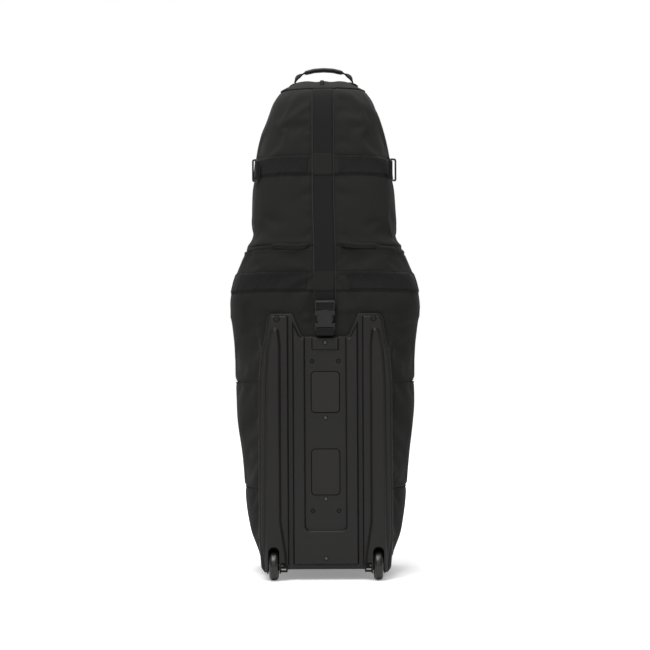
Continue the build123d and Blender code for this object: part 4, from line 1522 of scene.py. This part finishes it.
@dataclass
class Wheel:
    """An inline wheel: a round-edged cast tyre on a nylon core with two ball bearings."""

    side: Side
    x: float = 135.7
    y: float = -157.0
    radius: float = 38.0
    width: float = 24.0

    def centre(self) -> Vector:
        """The wheel's centre in metres."""
        return Vector((self.side.value * self.x * MM, self.y * MM, self.radius * MM))

    def disc(self, name: str, radius: float, width: float) -> bpy.types.Object:
        """A cylinder across X at the wheel's centre, left in object mode.

        Args:
            name: The piece's name.
            radius: Radius in millimetres.
            width: Width in millimetres.

        Returns:
            The cylinder.
        """
        bpy.ops.object.select_all(action="DESELECT")
        bpy.ops.mesh.primitive_cylinder_add(vertices=96, radius=radius * MM, depth=width * MM,
                                            location=self.centre(), rotation=(0, math.pi / 2, 0))
        obj = bpy.context.view_layer.objects.active
        obj.name = name
        settle(obj)
        return obj

    def build(self) -> None:
        """Build the tyre, core and bearings on the wheel's body."""
        body = f"wheel_{self.side.word}"
        tyre = self.disc(f"{body}_cast_tyre", self.radius, self.width)
        modify(tyre, "BEVEL", width=9.0 * MM, segments=8, limit_method="ANGLE",
               angle_limit=math.radians(60))
        bore = self.disc("bore", 17.0, 40.0)
        modify(tyre, "BOOLEAN", operation="DIFFERENCE", object=bore, solver="EXACT")
        bpy.data.objects.remove(bore)
        only(tyre)
        bpy.ops.object.shade_smooth_by_angle(angle=math.radians(35))
        finish(tyre, Finish.TYRE, "tyre")
        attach(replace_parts(tyre, f"{body}_tyre"), body)
        hub = cad_copy(f"{body}_core", [f"{body}_hub"], 0.8, 50.0)
        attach(finish(hub, Finish.CORE, "hub_plastic"), body)
        bearings = cad_copy(f"{body}_races", [f"{body}_bearings"], 0.4, 50.0)
        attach(finish(bearings, Finish.STEEL, "steel"), body)


@dataclass
class HardParts:
    """Mouldings, fasteners, rings, buckle and zip hardware, with rounded edges."""

    plain: tuple[tuple[str, tuple[str, ...], float, Finish, str, str], ...] = (
        ("pad_upper", ("skid_pad_upper",), 0.5, Finish.PAD, "skid_pad", "root"),
        ("pad_lower", ("skid_pad_lower",), 0.5, Finish.PAD, "skid_pad", "root"),
        ("horn_screw_pair", ("horn_screws",), 0.3, Finish.SCREW, "dark_screw", "root"),
        ("centre_screw_set", ("centre_screws",), 0.2, Finish.STEEL, "dark_screw", "root"),
        ("hex_screw_set", ("hex_screws",), 0.3, Finish.SCREW, "dark_screw", "root"),
        ("rivet_set", ("side_rivets",), 0.4, Finish.SCREW, "dark_screw", "root"),
        ("axle_pair", ("axle_left", "axle_right"), 0.5, Finish.STEEL, "steel", "root"),
        ("axle_nut_pair", ("axle_nuts",), 0.5, Finish.STEEL, "steel", "root"),
        ("feet", ("front_feet",), 1.5, Finish.RUBBER, "moulding", "root"),
        ("ring_wire_left", ("ring_left",), 0.0, Finish.LACQUER, "ring_metal", "side_ring_left"),
        ("ring_wire_right", ("ring_right",), 0.0, Finish.LACQUER, "ring_metal", "side_ring_right"),
        ("ring_loops", ("ring_tabs",), 0.4, Finish.WEBBING, "webbing", "root"),
        ("buckle_socket", ("buckle_female",), 0.7, Finish.ACETAL, "buckle_plastic", "root"),
        ("buckle_insert", ("buckle_male",), 0.7, Finish.ACETAL, "buckle_plastic", "buckle_plug"),
        ("buckle_arm_left", ("buckle_prong_left",), 0.6, Finish.ACETAL, "buckle_plastic", "prong_left"),
        ("buckle_arm_right", ("buckle_prong_right",), 0.6, Finish.ACETAL, "buckle_plastic", "prong_right"),
        ("buckle_upper_web", ("buckle_strap_loop",), 0.5, Finish.WEBBING, "webbing", "buckle_plug"),
        ("buckle_lower_web", ("buckle_webbing",), 0.5, Finish.WEBBING, "webbing", "root"),
        ("upper_zip", ("zipper_upper_chain",), 0.4, Finish.TAPE, "zip_chain", "root"),
        ("slider_body", ("zipper_slider",), 0.6, Finish.LACQUER, "zip_metal", "main_slider"),
        ("slider_pull", ("zipper_pull",), 0.5, Finish.LACQUER, "zip_metal", "main_pull"),
        ("pocket_slider_body", ("pocket_slider",), 0.6, Finish.LACQUER, "zip_metal", "pocket_zip_slider"),
        ("pocket_slider_pull", ("pocket_pull",), 0.5, Finish.LACQUER, "zip_metal", "pocket_zip_pull"),
        ("inner_straps", ("cinch_straps",), 0.5, Finish.WEBBING, "webbing", "root"),
        ("inner_board", ("stiffener_board",), 1.0, Finish.BOARD, "board", "root"),
    )
    padded: tuple[tuple[str, str, float], ...] = (
        ("floor_pad", "base_pad", 5.0), ("hood_pad", "hood_foam", 8.0),
    )

    def build(self) -> None:
        """Build every hard piece, the plate and the two foam pads inside."""
        for name, nodes, bevel, which, slot, body in self.plain:
            piece = cad_copy(name, nodes, bevel, 45.0)
            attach(finish(piece, which, slot), body)
        plate = cad_copy("rear_plate", ["kick_plate"], 1.3, 38.0, 3)
        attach(finish(plate, Finish.PLATE, "moulding"), "root")
        for name, node, bevel in self.padded:
            piece = cad_copy(name, [node], bevel, 50.0, 5)
            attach(finish(piece, Finish.FOAM, "foam"), "root")
        # painted shade: dead black rings round the screw heads and beads in the gaps round the skid pads
        rims = [(0.0, z, d, 4.6) for z, d in ((618.0, 10.2), (422.0, 5.2), (211.0, 5.2), (58.0, 13.2))]
        rims += [(s * x, z, 4.4, 5.3) for s in (-1, 1) for x, z in ((34.0, 569.0), (33.6, 180.5))]
        rims += [(s * 125.4, 680.0, 13.3, 7.0) for s in (-1, 1)]
        for number, rim in enumerate(rims):
            self.screw_rim(f"screw_rim_{number}", *rim)
        for side in Side:
            self.liner(side)
        self.pad_gap_shade("pad_gap_upper", 436.8, 541.1)
        self.pad_gap_shade("pad_gap_lower", 222.6, 340.1)
        self.crown_tab()

    @staticmethod
    def screw_rim(name: str, x: float, z: float, depth: float, radius: float) -> None:
        """A dead black bead round a screw's head, painted shade of the gap there.

        Args:
            name: The piece's name.
            x: The screw's place across.
            z: The screw's height.
            depth: Depth of its seat over the cloth.
            radius: Radius of the gap.
        """
        angle = np.linspace(0, 2 * math.pi, 33)
        across, up = x + radius * np.cos(angle), z + radius * np.sin(angle)
        path = np.stack([across, angle * 0 - 158.0 - depth, up], 1)
        bead = tube(name, path * MM, 0.9, 1.0, (0, 1, 0), 6, False)
        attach(finish(bead, Finish.GAP_SHADE, "moulding"), "root")

    @staticmethod
    def liner(side: Side) -> None:
        """The moulded wall behind the opening over an axle nut."""
        middle = (side.value * 0.108, -0.126, 0.0355)
        bpy.ops.object.select_all(action="DESELECT")
        bpy.ops.mesh.primitive_cube_add(size=1, location=middle)
        obj = bpy.context.view_layer.objects.active
        obj.name = f"axle_liner_{side.word}"
        bpy.ops.object.mode_set(mode="EDIT")
        bpy.ops.mesh.select_all(action="SELECT")
        bpy.ops.transform.resize(value=(0.024, 0.003, 0.021), center_override=middle)
        bpy.ops.mesh.bevel(offset=0.0008, segments=2)
        bpy.ops.object.mode_set(mode="OBJECT")
        settle(obj)
        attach(finish(obj, Finish.CORE, "moulding"), "root")

    @staticmethod
    def pad_gap_shade(name: str, low: float, high: float) -> None:
        """A dead black bead in the gap round a skid pad, painted shade of the gap.

        Args:
            name: The piece's name.
            low: The pad's lower edge.
            high: The pad's upper edge.
        """
        half, corner, depth = 36.6, 9.8, -163.6
        turn = np.linspace(0, math.pi / 2, 10)
        path = []
        for quarter, (sx, sz) in enumerate(((1, 1), (-1, 1), (-1, -1), (1, -1))):
            angle = turn + quarter * math.pi / 2
            cx = sx * (half - corner)
            cz = (high + 0.6 - corner) if sz > 0 else (low - 0.6 + corner)
            path += [(cx + corner * math.cos(a), depth, cz + corner * math.sin(a)) for a in angle]
        path.append(path[0])
        bead = tube(name, np.array(path) * MM, 1.25, 1.0, (0, 1, 0), 8, False)
        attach(finish(bead, Finish.GAP_SHADE, "moulding"), "root")

    def crown_tab(self) -> None:
        """The moulded end of the zip run that stands up at the back of the crown."""
        bpy.ops.object.select_all(action="DESELECT")
        bpy.ops.mesh.primitive_cube_add(size=1, location=(-0.0045, -0.084, 1.2985))
        obj = bpy.context.view_layer.objects.active
        obj.name = "crown_zip_end"
        bpy.ops.object.mode_set(mode="EDIT")
        bpy.ops.mesh.select_all(action="SELECT")
        bpy.ops.transform.resize(value=(0.0105, 0.010, 0.023), center_override=(-0.0045, -0.084, 1.2985))
        bpy.ops.mesh.bevel(offset=0.003, segments=4)
        bpy.ops.object.mode_set(mode="OBJECT")
        settle(obj)
        bpy.ops.object.shade_smooth_by_angle(angle=math.radians(40))
        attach(finish(obj, Finish.ACETAL, "buckle_plastic"), "root")


@dataclass
class Studio:
    """A white floor under soft overhead light, seen straight on from behind the case."""

    distance: float = 4.67
    height: float = 0.663
    lens: float = 96.1
    roll: float = 0.3

    def build(self) -> None:
        """Build the floor, lights, world and camera."""
        self.floor()
        self.light("key", (-0.8, -2.2, 3.8), 2.0, 112.0)
        self.light("front", (-0.2, -5.2, 1.9), 2.4, 15.0)
        self.light("top", (0.0, 0.2, 3.6), 3.0, 90.0)
        world = bpy.data.worlds.new("white_room")
        world.use_nodes = True
        tree = world.node_tree
        tree.nodes.clear()
        ray = add_node(tree, "ShaderNodeLightPath")
        power = add_node(tree, "ShaderNodeMapRange", None,
                         {"Value": ray.outputs["Is Camera Ray"], 3: 0.33, 4: 1.0})
        white = add_node(tree, "ShaderNodeBackground", None, {"Strength": power.outputs[0]})
        white.inputs["Color"].default_value = (1, 1, 1, 1)
        add_node(tree, "ShaderNodeOutputWorld", None, {"Surface": white.outputs[0]})
        scene = bpy.context.scene
        scene.world = world
        scene.view_settings.view_transform = "Standard"
        scene.view_settings.look = "None"
        camera = bpy.data.cameras.new("camera")
        camera.lens = self.lens
        camera.sensor_width = 36.0
        camera.clip_end = 100.0
        seat = bpy.data.objects.new("camera", camera)
        scene.collection.objects.link(seat)
        seat.location = (0.0, -self.distance, self.height)
        seat.rotation_euler = (math.pi / 2, math.radians(self.roll), 0.0)
        scene.camera = seat

    @staticmethod
    def light(name: str, place: Sequence[float], size: float, power: float) -> None:
        """An area light aimed at the middle of the case.

        Args:
            name: The light's name.
            place: Where it hangs, in metres.
            size: Its side in metres.
            power: Its power in watts.
        """
        data = bpy.data.lights.new(name, "AREA")
        data.shape = "SQUARE"
        data.size = size
        data.energy = power
        lamp = bpy.data.objects.new(name, data)
        bpy.context.scene.collection.objects.link(lamp)
        lamp.location = place
        aim = Vector((0.0, 0.0, 0.7)) - Vector(place)
        lamp.rotation_euler = aim.to_track_quat("-Z", "Y").to_euler()

    @staticmethod
    def floor() -> None:
        """The white ground."""
        bpy.ops.object.select_all(action="DESELECT")
        bpy.ops.mesh.primitive_plane_add(size=30.0)
        obj = bpy.context.view_layer.objects.active
        obj.name = "ground"
        made = bpy.data.materials.new("white_ground")
        made.use_nodes = True
        tree = made.node_tree
        tree.nodes.clear()
        body = add_node(tree, "ShaderNodeTexCoord")
        speck = add_node(tree, "ShaderNodeTexNoise", None, {"Vector": body.outputs["Object"], "Scale": 3.0})
        tone = add_node(tree, "ShaderNodeMapRange", None, {"Value": speck.outputs["Fac"], 3: 0.93, 4: 0.96})
        # painted light: for camera rays the ground glows, weakly under and near the case and more strongly
        # further off, so it reads white away from the case's shadow
        reach = add_node(tree, "ShaderNodeVectorMath", {"operation": "LENGTH"}, {0: body.outputs["Object"]})
        painted_glow = add_node(tree, "ShaderNodeMapRange", {"interpolation_type": "SMOOTHSTEP"},
                        {"Value": reach.outputs["Value"], 1: 0.1, 2: 1.3, 3: 0.26, 4: 0.78})
        ray = add_node(tree, "ShaderNodeLightPath")
        lift = add_node(tree, "ShaderNodeMath", {"operation": "MULTIPLY"},
                        {0: ray.outputs["Is Camera Ray"], 1: painted_glow.outputs[0]})
        shader = add_node(tree, "ShaderNodeBsdfPrincipled", None,
                          {"Base Color": tone.outputs[0], "Roughness": 0.9, "Specular IOR Level": 0.1,
                           "Emission Color": (1, 1, 1, 1), "Emission Strength": lift.outputs[0]})
        add_node(tree, "ShaderNodeOutputMaterial", None, {"Surface": shader.outputs[0]})
        dress(obj, made)


def main() -> None:
    logging.basicConfig(level=logging.INFO)
    surface = BodySurface()
    surface.drape = Drape(surface)
    ClothBody(surface).build()
    WebbingSet(surface).build()
    plane = FrontPlane()
    FrontFlaps(plane).build()
    FrontPocket(plane).build()
    TopHandle().build()
    for side in Side:
        Wheel(side).build()
    HardParts().build()
    Studio().build()


if __name__ == "__main__":
    main()
